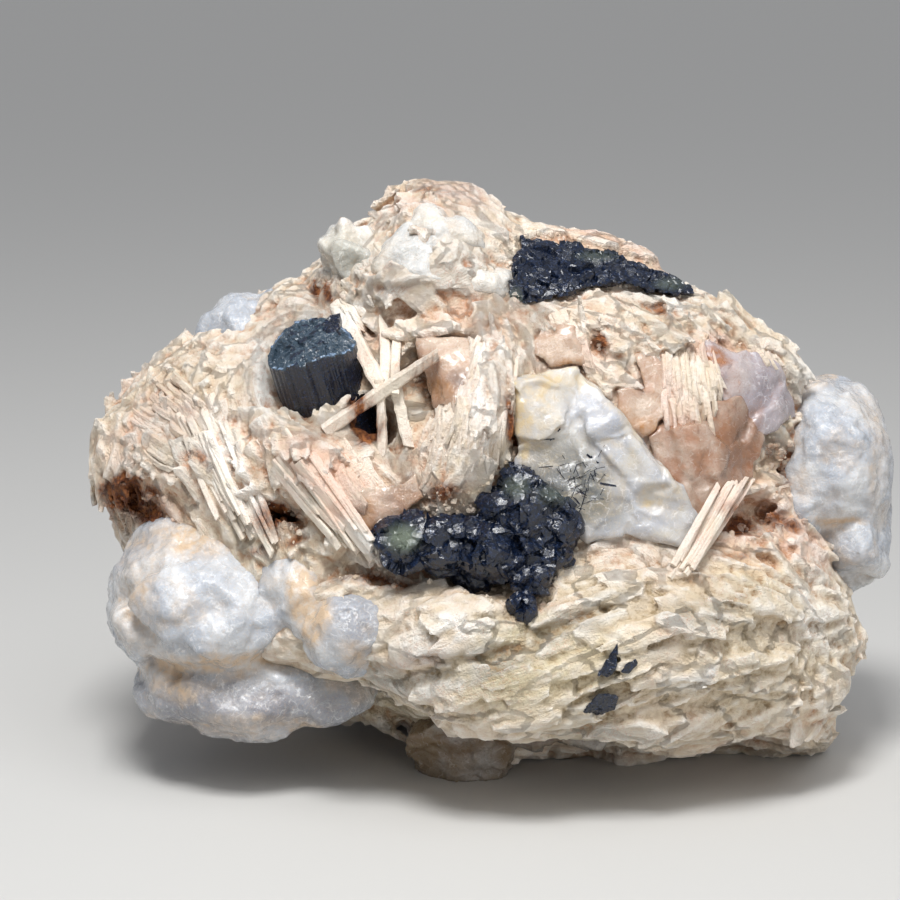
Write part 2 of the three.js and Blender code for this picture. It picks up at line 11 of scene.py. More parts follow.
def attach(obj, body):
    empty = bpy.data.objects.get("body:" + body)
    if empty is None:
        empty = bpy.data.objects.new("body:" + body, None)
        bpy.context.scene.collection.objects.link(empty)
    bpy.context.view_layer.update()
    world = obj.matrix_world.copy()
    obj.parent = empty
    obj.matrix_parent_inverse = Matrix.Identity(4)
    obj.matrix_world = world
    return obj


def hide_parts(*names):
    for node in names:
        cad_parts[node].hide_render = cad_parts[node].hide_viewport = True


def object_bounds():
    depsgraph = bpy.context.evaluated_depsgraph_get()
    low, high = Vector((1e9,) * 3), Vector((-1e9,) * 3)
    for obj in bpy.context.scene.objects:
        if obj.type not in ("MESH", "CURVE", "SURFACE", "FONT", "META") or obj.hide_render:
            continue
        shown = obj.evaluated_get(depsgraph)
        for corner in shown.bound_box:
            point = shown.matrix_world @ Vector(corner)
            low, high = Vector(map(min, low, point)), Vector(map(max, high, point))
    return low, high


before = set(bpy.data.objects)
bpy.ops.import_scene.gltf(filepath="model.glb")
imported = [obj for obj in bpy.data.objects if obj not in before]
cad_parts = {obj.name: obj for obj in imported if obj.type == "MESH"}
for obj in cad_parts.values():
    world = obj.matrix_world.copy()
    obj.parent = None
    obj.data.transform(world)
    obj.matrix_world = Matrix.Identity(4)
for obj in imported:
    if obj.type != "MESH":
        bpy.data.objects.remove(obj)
cadLow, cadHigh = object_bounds()
print("frame loaded")

# Layout. Lengths are in millimetres until a mesh is finished.
# A place on the front is (across, up, deep): across and up are measured on the middle plane as the
# eye sees them, deep is the distance behind it.
layout = {
    "eyeDistance": 340.0,
    "frontLean": math.radians(12),
    "middle": np.array([-5.42, 1.06, 42.3]),
}
mm = 0.001
leanSin, leanCos = math.sin(layout["frontLean"]), math.cos(layout["frontLean"])
rightWay = np.array([1.0, 0.0, 0.0])
upWay = np.array([0.0, leanSin, leanCos])
awayWay = np.array([0.0, leanCos, -leanSin])


def place(across, up, deep):
    across, up, deep = np.broadcast_arrays(*(np.asarray(v, float) for v in (across, up, deep)))
    spread = 1 + deep / layout["eyeDistance"]
    return (
        layout["middle"]
        + (across * spread)[..., None] * rightWay
        + (up * spread)[..., None] * upWay
        + deep[..., None] * awayWay
    )


def seenAt(points):
    offset = points - layout["middle"]
    deep = offset @ awayWay
    spread = 1 + deep / layout["eyeDistance"]
    return (offset @ rightWay) / spread, (offset @ upWay) / spread, deep


# The albite mass: the same outline, forms and ledges as its solid has.
rock = {
    "frontDepth": 23,
    "backDepth": 34,
    "boxiness": 2.6,
    "inset": 0.35,
    "bookSize": 5.5,
    "voxel": 0.38,
    "triangles": 190000,
    "heelDrop": 12,
    "heelStart": 0.1,
    "heelSpread": 0.4,
    "rimTop": 5,
    "rimBottom": -14,
    "ledgeRise": 1.7,
    "breakFlatness": 0.93,
    "centre": (5, -4),
    "outline": [
        (50.5, -6), (49.5, 6), (49.4, 12.4), (46.5, 16.6), (44, 17.8), (41.2, 21.4), (35, 22.8),
        (30.5, 25.2), (26, 28.2), (21, 29.9), (16, 30.2), (11, 31.2), (8.5, 32.4), (4, 36.2),
        (-1, 37.5), (-4.2, 36.8), (-7, 34.8), (-12, 30.8), (-18, 25), (-20, 22.6), (-23, 22.4),
        (-26, 20), (-30, 18), (-34, 16.4), (-38, 13.6), (-43, 9.4), (-47.5, 4.4), (-50.2, -1),
        (-49.6, -4.6), (-46, -7.6), (-45, -11), (-41, -15), (-37.5, -23), (-31, -28), (-22, -30.5),
        (-12, -31.8), (-7.6, -33.8), (-3, -36), (2, -38.4), (14, -38.8), (22, -39.8), (33, -41.2),
        (40, -39.9), (51, -38.7), (54, -31.5), (56, -27), (54.6, -21), (52.5, -15),
    ],
}
# Swells and hollows of the front: where, half sizes, turn and height towards the eye.
frontForms = [
    ("lower mass", (27, -27), (38, 15), 6, 7),
    ("cream boss", (-3, -25), (14, 7), 8, 5),
    ("lower lip", (6, -35), (15, 5), 0, 2.5),
    ("trench under the cluster", (-3, -16.5), (16, 3.5), -4, -4),
    ("fibrous rib", (2.5, 3.5), (15, 6.5), 72, 5.5),
    ("brown hollow", (-1, 11), (8, 4.5), 15, -5),
    ("hollow behind the blades", (-11.5, 4), (3.6, 3.6), 0, -5),
    ("crown", (-5, 28), (15, 9), 20, 4),
    ("step under the crown", (-5, 19), (15, 2.6), 3, -2.5),
    ("shelf of the bar", (21, 25.5), (16, 5), -16, -3),
    ("prism basin", (-19, 10), (9, 9), 0, -2),
    ("left boss", (-43.5, 0), (8, 8), -30, 3.5),
    ("left cavity", (-43.5, -6.6), (5, 2.6), -5, -6),
    ("cavity under the spray", (-23.5, -9.5), (4.5, 4), -35, -6),
    ("pink rib", (-17, -4), (17, 5), -42, 4),
    ("slope by the prism", (-31, 9), (10, 6), 30, 2),
    ("recess on the right", (41.5, -8.8), (6.5, 3), -8, -6),
    ("earthy hole", (46, -1.5), (3, 2), 10, -4),
    ("right crest", (45, 12), (9, 3.5), -50, 2.5),
    ("slope under the bar", (22, 17), (13, 4.6), -8, 2.5),
    ("triangular hole", (20.2, 14.6), (2.2, 2.2), 0, -4),
    ("right flank", (51, -26), (5, 12), 0, -3),
]
# Cleavage ledges of the lower mass: where, half length, half height and turn.
ledges = [
    ((7, -30.5), 15, 1.6, 9), ((9, -35.4), 12, 1.7, 4), ((22, -18.5), 14, 1.5, 21),
    ((33, -22.4), 13, 1.6, 11), ((34, -28.6), 14, 1.7, 6), ((31, -35.4), 15, 1.8, 1),
    ((46.5, -20.5), 7, 1.8, -3), ((45.5, -30.5), 8, 2, 3),
]
# Flat breaks of the back: the way that each one faces, and how far out it lies.
backBreaks = [
    ((0.1, 1, 0.02), 31.5), ((-0.5, 0.8, 0.35), 35), ((0.55, 0.8, 0.25), 39),
    ((0.1, 0.72, 0.7), 33.5), ((-0.9, 0.5, -0.1), 43), ((-0.55, 0.45, 0.7), 34.5),
    ((0.62, 0.3, 0.72), 37.5), ((0.9, 0.45, -0.1), 50), ((-0.55, 0.7, -0.4), 40),
    ((0.5, 0.75, -0.4), 44), ((0.3, 0.5, 0.85), 35), ((-0.2, 0.9, 0.5), 33),
]

# Open pits and slits: where, half sizes, turn and depth.
pits = [
    ((-43.5, -5.2), (4.6, 1.6), -5, 4), ((-11.6, 4.2), (2.2, 3), 20, 4.5),
    ((-27, -3), (1.8, 0.8), -40, 2.5), ((-23.2, -8.6), (4, 1.1), -42, 3),
    ((-22.5, -12.5), (2.2, 1.7), 0, 2.5), ((20.2, 14.7), (1.2, 1), 20, 2.6),
    ((39, -10.4), (3.4, 1.1), 0, 3.5), ((45.6, -1.6), (1.4, 1.1), 0, 3),
    ((47, 2.6), (1.2, 0.9), 0, 2), ((-18.3, 22), (0.6, 1.9), 15, 2.4),
    ((-16.7, 21.6), (0.6, 1.9), 15, 2.4), ((-15, 21.5), (0.6, 1.4), 15, 2),
    ((29, 18.2), (4.2, 0.7), -38, 1.5), ((-9, 26.5), (0.6, 2.8), 20, 1.8),
    ((8.7, 2), (0.7, 8), 5, 2.2), ((0, -6.5), (3, 1.5), 0, 1.5), ((-11, -17.8), (7, 0.9), -5, 2.5),
    ((4, -20), (5, 0.8), 0, 1.5), ((-6, -29.2), (7, 0.9), 8, 2.2), ((8, -27), (7, 0.8), 14, 2.2),
    ((20, -22.5), (6, 0.8), 22, 1.8), ((45.5, -24), (0.5, 8), 0, 1.2),
    ((34, -17.2), (6, 0.8), -8, 1.8), ((40, -14), (5, 0.7), 6, 1.6), ((30, -31), (7, 0.6), 12, 1.2),
    ((51, -16), (5, 0.6), 0, 1.2),
]

outlineTurns = np.array([
    math.atan2(up - rock["centre"][1], across - rock["centre"][0])
    for across, up in rock["outline"]
])
outlineSpans = np.array([
    math.hypot(up - rock["centre"][1], across - rock["centre"][0])
    for across, up in rock["outline"]
])


def outlineReach(bearing):
    return np.interp(bearing, outlineTurns, outlineSpans, period=2 * math.pi)


def turned(across, up, at, turn):
    c, s = math.cos(math.radians(turn)), math.sin(math.radians(turn))
    x, y = across - at[0], up - at[1]
    return x * c + y * s, y * c - x * s


# 1 at the middle of a soft oval mark, 0 at its edge
def oval(across, up, at, size, turn=0, power=1.5):
    x, y = turned(across, up, at, turn)
    return np.clip(1 - (x / size[0]) ** 2 - (y / size[1]) ** 2, 0, None) ** power


def formHeight(across, up):
    return sum(high * oval(across, up, at, size, turn) for _, at, size, turn, high in frontForms)


def pitDepth(across, up):
    flat = np.stack([across, up, np.zeros(len(across))], 1)
    across = across + softNoise(flat / 1.7, 25) * 0.9
    up = up + softNoise(flat / 1.7, 26) * 0.9
    return sum(deep * oval(across, up, at, size, turn, power=0.7) for at, size, turn, deep in pits)


def rimDepth(bearing, out):
    down = np.clip(-np.sin(bearing), 0, None) ** 1.4
    return (rock["rimTop"] + (rock["rimBottom"] - rock["rimTop"]) * down) * out * out


def fullness(out):
    return np.clip(1 - out ** rock["boxiness"], 0, None) ** (1 / rock["boxiness"])


def frontDepth(across, up):
    x, y = across - rock["centre"][0], up - rock["centre"][1]
    bearing = np.arctan2(y, x)
    out = np.minimum(1, np.hypot(x, y) / outlineReach(bearing))
    return rimDepth(bearing, out) - (rock["frontDepth"] + formHeight(across, up)) * fullness(out)


def onFront(across, up, proud):
    across, up = np.asarray(across, float), np.asarray(up, float)
    return place(across, up, frontDepth(across, up) - np.asarray(proud, float))


# Even scatter, soft noise and broken cells, all from whole-number seeds.
def scatter(*keys):
    total = np.zeros(np.broadcast(*keys).shape, np.uint64)
    for key in keys:
        total = total ^ np.asarray(key).astype(np.int64).astype(np.uint64)
        total = (total + np.uint64(0x9E3779B97F4A7C15)) * np.uint64(0xBF58476D1CE4E5B9)
        total = total ^ (total >> np.uint64(29))
    return (total >> np.uint64(11)).astype(float) / 2.0**53


def softNoise(points, seed):
    base = np.floor(points)
    part = points - base
    part = part * part * (3 - 2 * part)
    total = 0
    for i, j, k in np.ndindex(2, 2, 2):
        weight = np.abs(1 - i - part[:, 0]) * np.abs(1 - j - part[:, 1]) * np.abs(1 - k - part[:, 2])
        total = total + weight * scatter(base[:, 0] + i, base[:, 1] + j, base[:, 2] + k, seed)
    return total * 2 - 1


# The middle of the uneven cell that each point is in.
def nearestCells(points, seed):
    base = np.floor(points)
    best = np.full(len(points), 99.0)
    centre = np.zeros_like(points)
    for shift in np.ndindex(3, 3, 3):
        cell = base + shift - 1
        jitter = [scatter(cell[:, 0], cell[:, 1], cell[:, 2], seed + n) for n in range(3)]
        spot = cell + np.stack(jitter, 1)
        away = ((points - spot) ** 2).sum(1)
        closer = away < best
        best = np.where(closer, away, best)
        centre = np.where(closer[:, None], spot, centre)
    return centre


def wholeOf(values):
    return np.floor(np.asarray(values) * 1e6)


# Each cell is a flat break, tilted its own way, with a step to its neighbours.
def flatBreaks(points, size, tilt, step, seed):
    centre = nearestCells(points / size, seed)
    keys = [wholeOf(centre[:, n]) for n in range(3)]
    lean = np.stack([scatter(*keys, seed + n) - 0.5 for n in (5, 6, 7)], 1)
    offset = points / size - centre
    return (offset * lean).sum(1) * tilt * size + (scatter(*keys, seed + 9) - 0.5) * step


# Outlines, as the eye sees them, of what is set in the albite.
covers = {
    "prism": [
        (-24.5, 14), (-25.2, 11), (-22, 3.7), (-19, 5), (-16, 6.5), (-11.7, 10.2), (-14, 16.5),
        (-15, 18.6), (-17.4, 17.2), (-20, 17.3), (-23.6, 15.6),
    ],
    "bar": [
        (9.4, 29.2), (7.6, 22), (7.9, 19.8), (12, 21.6), (17, 21.1), (24, 22.4), (33.6, 20.8),
        (31.5, 24.4), (24, 26.6), (16, 28.8),
    ],
    "paleFace": [
        (8.2, 9.2), (12.4, 10.6), (17.5, 11.2), (22.5, 6), (28, -1), (33.6, -8.4), (31.5, -12.6),
        (25, -10), (19, -12.4), (9, -3.6),
    ],
    "amberBlock": [
        (27, 1.6), (31, 3), (36, 3), (40, 7.6), (42.4, 2), (41, -4.4), (36, -10), (33, -9),
        (28, -1),
    ],
    "lilacFace": [
        (34.6, 14.6), (40.6, 14.4), (44.5, 12.4), (46.6, 8), (47.4, 5), (43, 2), (38, 4),
        (36.6, 10.6),
    ],
    "cluster": [
        (-10, -12), (-8.6, -9), (-3, -9), (3.4, -9.6), (4, -6), (7, -2), (11.4, -2.4), (17, -7.6),
        (17, -13.4), (14.6, -16.6), (13.6, -20), (11, -23), (7.8, -22), (8, -18.6), (3, -19.6),
        (0, -17.4), (-6, -16.6), (-9.4, -15.4),
    ],
    "rosyTop": [
        (11.6, 13.4), (12.4, 18), (16.6, 17.4), (18.6, 11.4), (14.4, 10.8),
    ],
    "rosyRight": [
        (22.8, 5), (22.6, 8), (26, 9), (25.4, 13.8), (30, 13), (30.6, 8.4), (30, 3.4), (26.4, 1.6),
    ],
    "rosyMiddle": [
        (-3.6, 14.6), (3.4, 15.6), (4.2, 9.6), (1, 5.4), (-3, 6.6),
    ],
    "rosyLow": [
        (-12.6, -5.4), (-4.6, -4.2), (-3.4, -7.4), (-9.6, -8.6), (-11.4, -12), (-13.8, -9.4),
    ],
    "chipUpper": [
        (22.9, -26), (20.1, -30.6), (22, -30.6), (23, -29.6),
    ],
    "chipSide": [
        (25.6, -28.4), (23.4, -29.2), (23, -30.4), (24.6, -30.4),
    ],
    "chipLower": [
        (17.9, -35.8), (20.2, -33), (23, -33.2), (22.4, -35.4), (20.2, -36.2),
    ],
}


def within(across, up, corners):
    inside = np.zeros(np.shape(across), bool)
    for (x1, y1), (x2, y2) in zip(corners, corners[1:] + corners[:1]):
        if y1 != y2:
            crossing = (up > min(y1, y2)) & (up <= max(y1, y2))
            inside ^= crossing & (across < x1 + (up - y1) * (x2 - x1) / (y2 - y1))
    return inside


def covered(across, up, margin):
    shifts = [(0, 0), (margin, 0), (-margin, 0), (0, margin), (0, -margin)]
    return np.any([
        within(across + x, up + y, corners) for corners in covers.values() for x, y in shifts
    ], axis=0)


# The dip in which the crossing blades stand
latticeDip = [(-15.5, 2.6), (-15.2, 18.4), (-6, 18), (-1.6, 14), (-3, 2), (-9, -1.4)]


# The way that the albite plates lie in each part of the front: where, how far it holds, the bearing
# of the plates, their width and length, the relief, and how much their lie wanders.
plateAreas = [
    ("left slope", (-34, 8), 12, -52, 1.4, 5, 0.6, 14),
    ("left boss", (-45, 1), 6, -70, 2.2, 7, 0.4, 20),
    ("left spray", (-28, -4), 8, -62, 1.5, 12, 1.2, 10),
    ("middle rib", (-17, -6), 8, -44, 1.7, 12, 0.9, 10),
    ("rim of the prism", (-20, 9), 7, 60, 1.4, 4, 0.5, 40),
    ("step by the crown", (-4, 18), 7, -10, 1.6, 6, 0.6, 20),
    ("crown", (-8, 28), 9, -55, 1.6, 4, 0.5, 18),
    ("top ridge", (16, 31), 12, -24, 1.4, 4, 0.6, 25),
    ("fibrous panel", (3, 4), 8, 74, 0.9, 9, 0.7, 7),
    ("top of the panel", (9, 15), 5, 84, 1.1, 6, 0.6, 14),
    ("under the bar", (21, 17), 8, -58, 1.3, 6, 0.9, 30),
    ("cream block", (33, 9), 6, 100, 1.0, 7, 0.7, 10),
    ("crest", (46, 12), 7, -52, 1.6, 7, 0.9, 16),
    ("right cavity", (42, -7), 5, 8, 1.0, 4, 1.3, 25),
    ("beds of the right", (38, -15), 8, -6, 1.1, 6, 1.1, 12),
    ("left of the lower mass", (-3, -25), 11, 12, 1.5, 5, 0.8, 18),
    ("middle of the lower mass", (18, -24), 11, 22, 1.1, 7, 0.6, 8),
    ("foot of the lower mass", (20, -35), 12, 9, 1.2, 7, 0.6, 9),
    ("right block", (48, -27), 9, 0, 1.4, 7, 0.6, 7),
]


def plateLie(across, up):
    weights = np.stack([
        np.exp(-((across - at[0]) ** 2 + (up - at[1]) ** 2) / (2 * far * far)) + 1e-9
        for _, at, far, *_ in plateAreas
    ]) ** 2
    weights = weights / weights.sum(0)
    turn = np.radians([area[3] for area in plateAreas]) * 2
    bearing = np.arctan2((weights.T * np.sin(turn)).sum(1), (weights.T * np.cos(turn)).sum(1)) / 2
    rest = [(weights.T * [area[n] for area in plateAreas]).sum(1) for n in (4, 5, 6, 7)]
    return bearing, *rest


# Stacked plates: long steps that lie along one way, broken off at uneven lengths.
def plates(points, along, over, width, length, book, seed):
    s, t = (points * along).sum(1), (points * over).sum(1)
    rows = t / width + 40 * scatter(book, seed)
    row = np.floor(rows)
    runs = s / length + 7 * scatter(row, book, seed + 1)
    run = np.floor(runs)
    level = scatter(row, run, book, seed + 2)
    lean = scatter(row, run, book, seed + 3) - 0.5
    side = np.abs((rows - row) * 2 - 1)
    return level - 0.5 + 0.9 * lean * (runs - run - 0.5) - 0.3 * side**5


# Colour marks on the albite by kind: where, half sizes, turn and strength. Some grey marks are painted
# shade.
stainsAndShade = {
    "peach": [
        ((-17, -4), (12, 5), -42, 0.9), ((-39, 5), (7, 5), 20, 0.8), ((3, 5), (13, 6), 72, 0.5),
        ((22, 29), (12, 3), -20, 0.9), ((-1, 34), (8, 4), 0, 0.8), ((37, 13.5), (5, 2.5), -15, 1),
        ((41, -9), (9, 8), 0, 0.9), ((-12, 15), (3, 4), 0, 0.9), ((-42, -8), (6, 4), 0, 0.8),
        ((2, 18), (9, 4), 0, 0.5), ((16, 13), (6, 4), 0, 0.7), ((6, -20), (12, 3), 0, 0.5),
        ((-3, -27), (8, 3), 10, 0.5), ((48, -12), (6, 3), 0, 0.7), ((28, 3), (8, 9), 0, 0.8),
        ((-44, 1), (6, 5), 0, 0.35),
    ],
    "rust": [
        ((-43.5, -6.4), (5, 3), -5, 1), ((-42.5, -8.6), (4.5, 2.6), 0, 0.8),
        ((-23.5, -9.5), (4.5, 3.6), -35, 1), ((-11.4, 4), (3.2, 3.6), 0, 1.2),
        ((-2, 10.5), (6.5, 4), 15, 0.75), ((8.6, 2), (1.2, 7.5), 6, 1), ((0, -6), (3, 3), 0, 0.8),
        ((10, -22), (5, 2), 20, 0.6), ((-11, -17.6), (7, 1), -6, 0.9),
        ((-18, 22), (0.5, 1.9), 20, 1.4), ((-16.6, 21.6), (0.5, 1.9), 20, 1.4),
        ((-15, 21.5), (0.5, 1.4), 20, 1), ((-8.5, 26), (0.6, 2.6), 25, 0.8),
        ((20.2, 14.6), (1.4, 1.2), 20, 1.0), ((29, 18.4), (4, 0.9), -35, 0.6),
        ((-3.4, 35), (1.4, 1.2), 0, 1.2), ((41, -9.6), (6, 2.4), -8, 1),
        ((45.5, -1.5), (3.4, 3), 30, 0.9), ((46, -9), (4, 2.4), 0, 0.7),
        ((-38, 7), (5, 1), -35, 0.6), ((-33, -2), (3, 1.6), -35, 0.7),
        ((-26.5, -14), (1.2, 1), 0, 0.9),
    ],
    "yellow": [
        ((14, -28), (44, 15), 6, 1.3), ((-31, 10), (9, 5), 30, 0.6), ((42, -32), (14, 7), 0, 0.5),
        ((-3, -20), (6, 2.4), 0, 0.8), ((14, -17), (8, 4), 25, 0.7),
    ],
    # Grey of the rock, and painted shade: the marks on the lower mass partly follow the shade under
    # its ledges, and the one at (-38, 2) paints the shadow lines of the left slope.
    "grey": [
        ((19, -22.5), (10, 3.4), 20, 1.3), ((33, -22), (6, 3), 5, 1.1),
        ((3, -29), (14, 2.4), 10, 1.2), ((-8, -31.5), (7, 2.6), -14, 1.1),
        ((24, -38.5), (14, 2), 0, 1), ((41, -27), (4, 5), 0, 0.8), ((-14, 26), (5, 4), 40, 0.9),
        ((0, 24), (9, 5), 0, 0.6), ((-2, 8), (3, 2.4), 0, 0.9), ((-36, -2), (4, 4), 0, 0.5),
        ((39, -20), (6, 3), 0, 0.5), ((-38, 2), (9, 5), 25, 0.7),
    ],
    "pale": [
        ((33, -31), (4.5, 1.6), 22, 1.3), ((-25.6, 9), (1.6, 8), 8, 0.9),
        ((-14, 18), (10, 2), 20, 0.8), ((5, 13), (6, 4), 0, 0.6), ((-12, -12), (5, 1.4), -40, 1),
        ((30, 21), (9, 3), -20, 0.6), ((48, 12), (4, 5), -50, 0.8), ((50, -22), (5, 6), 0, 0.6),
        ((0, -24), (9, 4), 10, 0.7), ((-30, -2), (3, 9), 26, 0.7), ((3, 3), (6, 9), -16, 0.7),
    ],
}
# How much of each colour lies all over the albite.
stainBase = {"peach": 0.2, "rust": 0.0, "yellow": 0.22, "grey": 0.1, "pale": 0.26}


# The piece's name for a node's: blade_lattice gives bladeLattice.
def camelName(nodeName):
    first, *others = nodeName.split("_")
    return first + "".join(word.capitalize() for word in others)


def newPiece(name, bm):
    mesh = bpy.data.meshes.new(name)
    bm.to_mesh(mesh)
    bm.free()
    piece = bpy.data.objects.new(name, mesh)
    bpy.context.scene.collection.objects.link(piece)
    return piece


def joinInto(bm, part):
    bmesh.ops.recalc_face_normals(part, faces=part.faces)
    spare = bpy.data.meshes.new("spare")
    part.to_mesh(spare)
    part.free()
    bm.from_mesh(spare)
    bpy.data.meshes.remove(spare)


def pointsOf(mesh):
    points = np.empty(len(mesh.vertices) * 3)
    mesh.vertices.foreach_get("co", points)
    return points.reshape(-1, 3)


def setPoints(mesh, points):
    mesh.vertices.foreach_set("co", np.ascontiguousarray(points, float).ravel())
    mesh.update()


def outwardOf(mesh):
    normals = np.empty(len(mesh.vertices) * 3, np.float32)
    mesh.vertex_normals.foreach_get("vector", normals)
    return normals.reshape(-1, 3).astype(float)


def surfaceOf(piece):
    return piece.data, pointsOf(piece.data), outwardOf(piece.data)


def setMask(mesh, name, values):
    layer = mesh.attributes.new(name, "FLOAT", "POINT")
    layer.data.foreach_set("value", np.ascontiguousarray(values, np.float32))


def setVectors(mesh, name, values):
    layer = mesh.attributes.new(name, "FLOAT_VECTOR", "POINT")
    layer.data.foreach_set("vector", np.ascontiguousarray(values, np.float32).ravel())


# How far each point lies below the average of the points round it.
def hollowness(mesh, points, outward, rounds):
    pairs = np.empty(len(mesh.edges) * 2, np.int32)
    mesh.edges.foreach_get("vertices", pairs)
    a, b = pairs.reshape(-1, 2).T
    count = np.bincount(a, minlength=len(points)) + np.bincount(b, minlength=len(points))
    smooth = points.copy()
    for _ in range(rounds):
        total = np.stack([
            np.bincount(a, smooth[b, n], len(points)) + np.bincount(b, smooth[a, n], len(points))
            for n in range(3)
        ], 1)
        smooth = (smooth + total) / (1 + count)[:, None]
    return ((smooth - points) * outward).sum(1)


# Draws points that stand out of the solids' box back into it, softly, over the last bit of the way.
def drawnIn(points, soft=1.4):
    low, high = np.array(cadLow) / mm + soft, np.array(cadHigh) / mm - soft
    low[2] = -99
    over = np.clip(points - high, 0, None)
    under = np.clip(low - points, 0, None)
    points = points - over + soft * (1 - np.exp(-over / soft))
    return points + under - soft * (1 - np.exp(-under / soft))


# Puts a finished piece in the frame: metres, inside the solids' box, on its body, in place of its
# node's solid.
def finishPiece(piece, material, nodeName, smooth=False):
    points = pointsOf(piece.data) * mm
    margin = 1e-5
    setPoints(piece.data, np.clip(points, np.array(cadLow) + margin, np.array(cadHigh) - margin))
    if smooth:
        piece.data.shade_smooth()
    else:
        piece.data.shade_flat()
    piece.data.materials.append(material)
    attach(piece, "root")
    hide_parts(nodeName)


def applied(piece):
    graph = bpy.context.evaluated_depsgraph_get()
    mesh = bpy.data.meshes.new_from_object(piece.evaluated_get(graph))
    piece.modifiers.clear()
    old = piece.data
    piece.data = mesh
    bpy.data.meshes.remove(old)
    return piece


def fused(name, bm, voxel):
    piece = newPiece(name, bm)
    remesh = piece.modifiers.new("Fuse", "REMESH")
    remesh.mode = "VOXEL"
    remesh.voxel_size = voxel
    return applied(piece)


def thinned(piece, share):
    piece.modifiers.new("Thin", "DECIMATE").ratio = share
    applied(piece)


# Shader building

def newMaterial(name):
    material = bpy.data.materials.new(name)
    material.use_nodes = True
    return material, material.node_tree, material.node_tree.nodes["Principled BSDF"]


def link(tree, value, socket):
    if isinstance(value, bpy.types.NodeSocket):
        tree.links.new(value, socket)
    else:
        socket.default_value = value


def node(tree, kind, inputs=None, **settings):
    made = tree.nodes.new(kind)
    for key, value in settings.items():
        setattr(made, key, value)
    for key, value in (inputs or {}).items():
        link(tree, value, made.inputs[key])
    return made


# A node group of number sockets, with its two ends.
def numberGroup(name, inputs, outputs):
    tree = bpy.data.node_groups.new(name, "ShaderNodeTree")
    for key, value in inputs.items():
        made = tree.interface.new_socket(name=key, in_out="INPUT", socket_type="NodeSocketFloat")
        made.default_value = value
    for key in outputs:
        tree.interface.new_socket(name=key, in_out="OUTPUT", socket_type="NodeSocketFloat")
    return tree, node(tree, "NodeGroupInput"), node(tree, "NodeGroupOutput")


def mixColour(tree, share, first, second):
    mix = node(tree, "ShaderNodeMix", data_type="RGBA")
    for index, value in ((0, share), (6, first), (7, second)):
        link(tree, value, mix.inputs[index])
    return mix.outputs[2]


def maths(tree, operation, first, second=0.0, clamp=False):
    made = node(tree, "ShaderNodeMath", operation=operation, use_clamp=clamp)
    link(tree, first, made.inputs[0])
    link(tree, second, made.inputs[1])
    return made.outputs[0]


def plus(tree, first, second, clamp=False):
    return maths(tree, "ADD", first, second, clamp)


def minus(tree, first, second, clamp=False):
    return maths(tree, "SUBTRACT", first, second, clamp)


def times(tree, first, second, clamp=False):
    return maths(tree, "MULTIPLY", first, second, clamp)


def ramp(tree, value, low, high):
    made = node(tree, "ShaderNodeMapRange", {"Value": value, "From Min": low, "From Max": high})
    made.interpolation_type = "SMOOTHSTEP"
    return made.outputs[0]


def mask(tree, name):
    return node(tree, "ShaderNodeAttribute", attribute_name=name).outputs["Fac"]


# Fine streaks that follow the plates, on the lie that a piece carries in its grain attribute.
def makeGrainGroup():
    tree, given, out = numberGroup("plateGrain", {"Fineness": 1.0}, ("Streak", "Height", "Mottle"))
    lie = node(tree, "ShaderNodeAttribute", attribute_name="grain").outputs["Vector"]
    drawnOut = node(tree, "ShaderNodeMapping", {"Vector": lie, "Scale": (0.09, 0.42, 0.3)})
    mottle = node(tree, "ShaderNodeTexNoise", {
        "Vector": drawnOut.outputs[0], "Scale": 1.0, "Detail": 3.0, "Roughness": 0.6,
        "Distortion": 0.3,
    })
    tree.links.new(mottle.outputs["Fac"], out.inputs["Mottle"])
    scaled = node(tree, "ShaderNodeVectorMath", {0: lie, "Scale": given.outputs[0]}, operation="SCALE")
    stretched = node(tree, "ShaderNodeMapping", {
        "Vector": scaled.outputs[0], "Scale": (0.22, 1.9, 1.0),
    })
    streak = node(tree, "ShaderNodeTexNoise", {
        "Vector": stretched.outputs[0], "Scale": 1.3, "Detail": 5.0, "Roughness": 0.62,
    })
    crumbs = node(tree, "ShaderNodeTexNoise", {
        "Vector": lie, "Scale": 2.6, "Detail": 4.0, "Roughness": 0.6,
    })
    height = plus(tree, streak.outputs["Fac"], times(tree, crumbs.outputs["Fac"], 0.5))
    tree.links.new(streak.outputs["Fac"], out.inputs["Streak"])
    tree.links.new(height, out.inputs["Height"])
    return tree


# Cloudy patches in the solid: two sizes of soft noise on the object's own coordinates, in metres.
def makeCloudGroup():
    tree, given, out = numberGroup("cloudiness", {"Size": 0.006, "Seed": 0.0}, ("Cloud", "Fine"))
    spot = node(tree, "ShaderNodeTexCoord").outputs["Object"]
    scale = maths(tree, "DIVIDE", 1.0, given.outputs[0])
    fineScale = times(tree, scale, 6.0)
    cloud = node(tree, "ShaderNodeTexNoise", {
        "Vector": spot, "W": given.outputs[1], "Scale": scale, "Detail": 4.0, "Distortion": 0.4,
    }, noise_dimensions="4D")
    fine = node(tree, "ShaderNodeTexNoise", {
        "Vector": spot, "W": given.outputs[1], "Scale": fineScale, "Detail": 5.0, "Roughness": 0.6,
    }, noise_dimensions="4D")
    tree.links.new(cloud.outputs["Fac"], out.inputs["Cloud"])
    tree.links.new(fine.outputs["Fac"], out.inputs["Fine"])
    return tree


grainGroup = makeGrainGroup()
cloudGroup = makeCloudGroup()


def grouped(tree, group, **inputs):
    made = node(tree, "ShaderNodeGroup", node_tree=group)
    for key, value in inputs.items():
        made.inputs[key].default_value = value
    return made


def setPlain(shader, values):
    for key, value in values.items():
        shader.inputs[key].default_value = value


def srgb(red, green, blue):
    values = [v / 255 for v in (red, green, blue)]
    return tuple(v / 12.92 if v < 0.04045 else ((v + 0.055) / 1.055) ** 2.4 for v in values) + (1.0,)


def bump(tree, height, distance, strength=1.0):
    made = node(tree, "ShaderNodeBump", {"Height": height, "Distance": distance, "Strength": strength})
    return made.outputs[0]
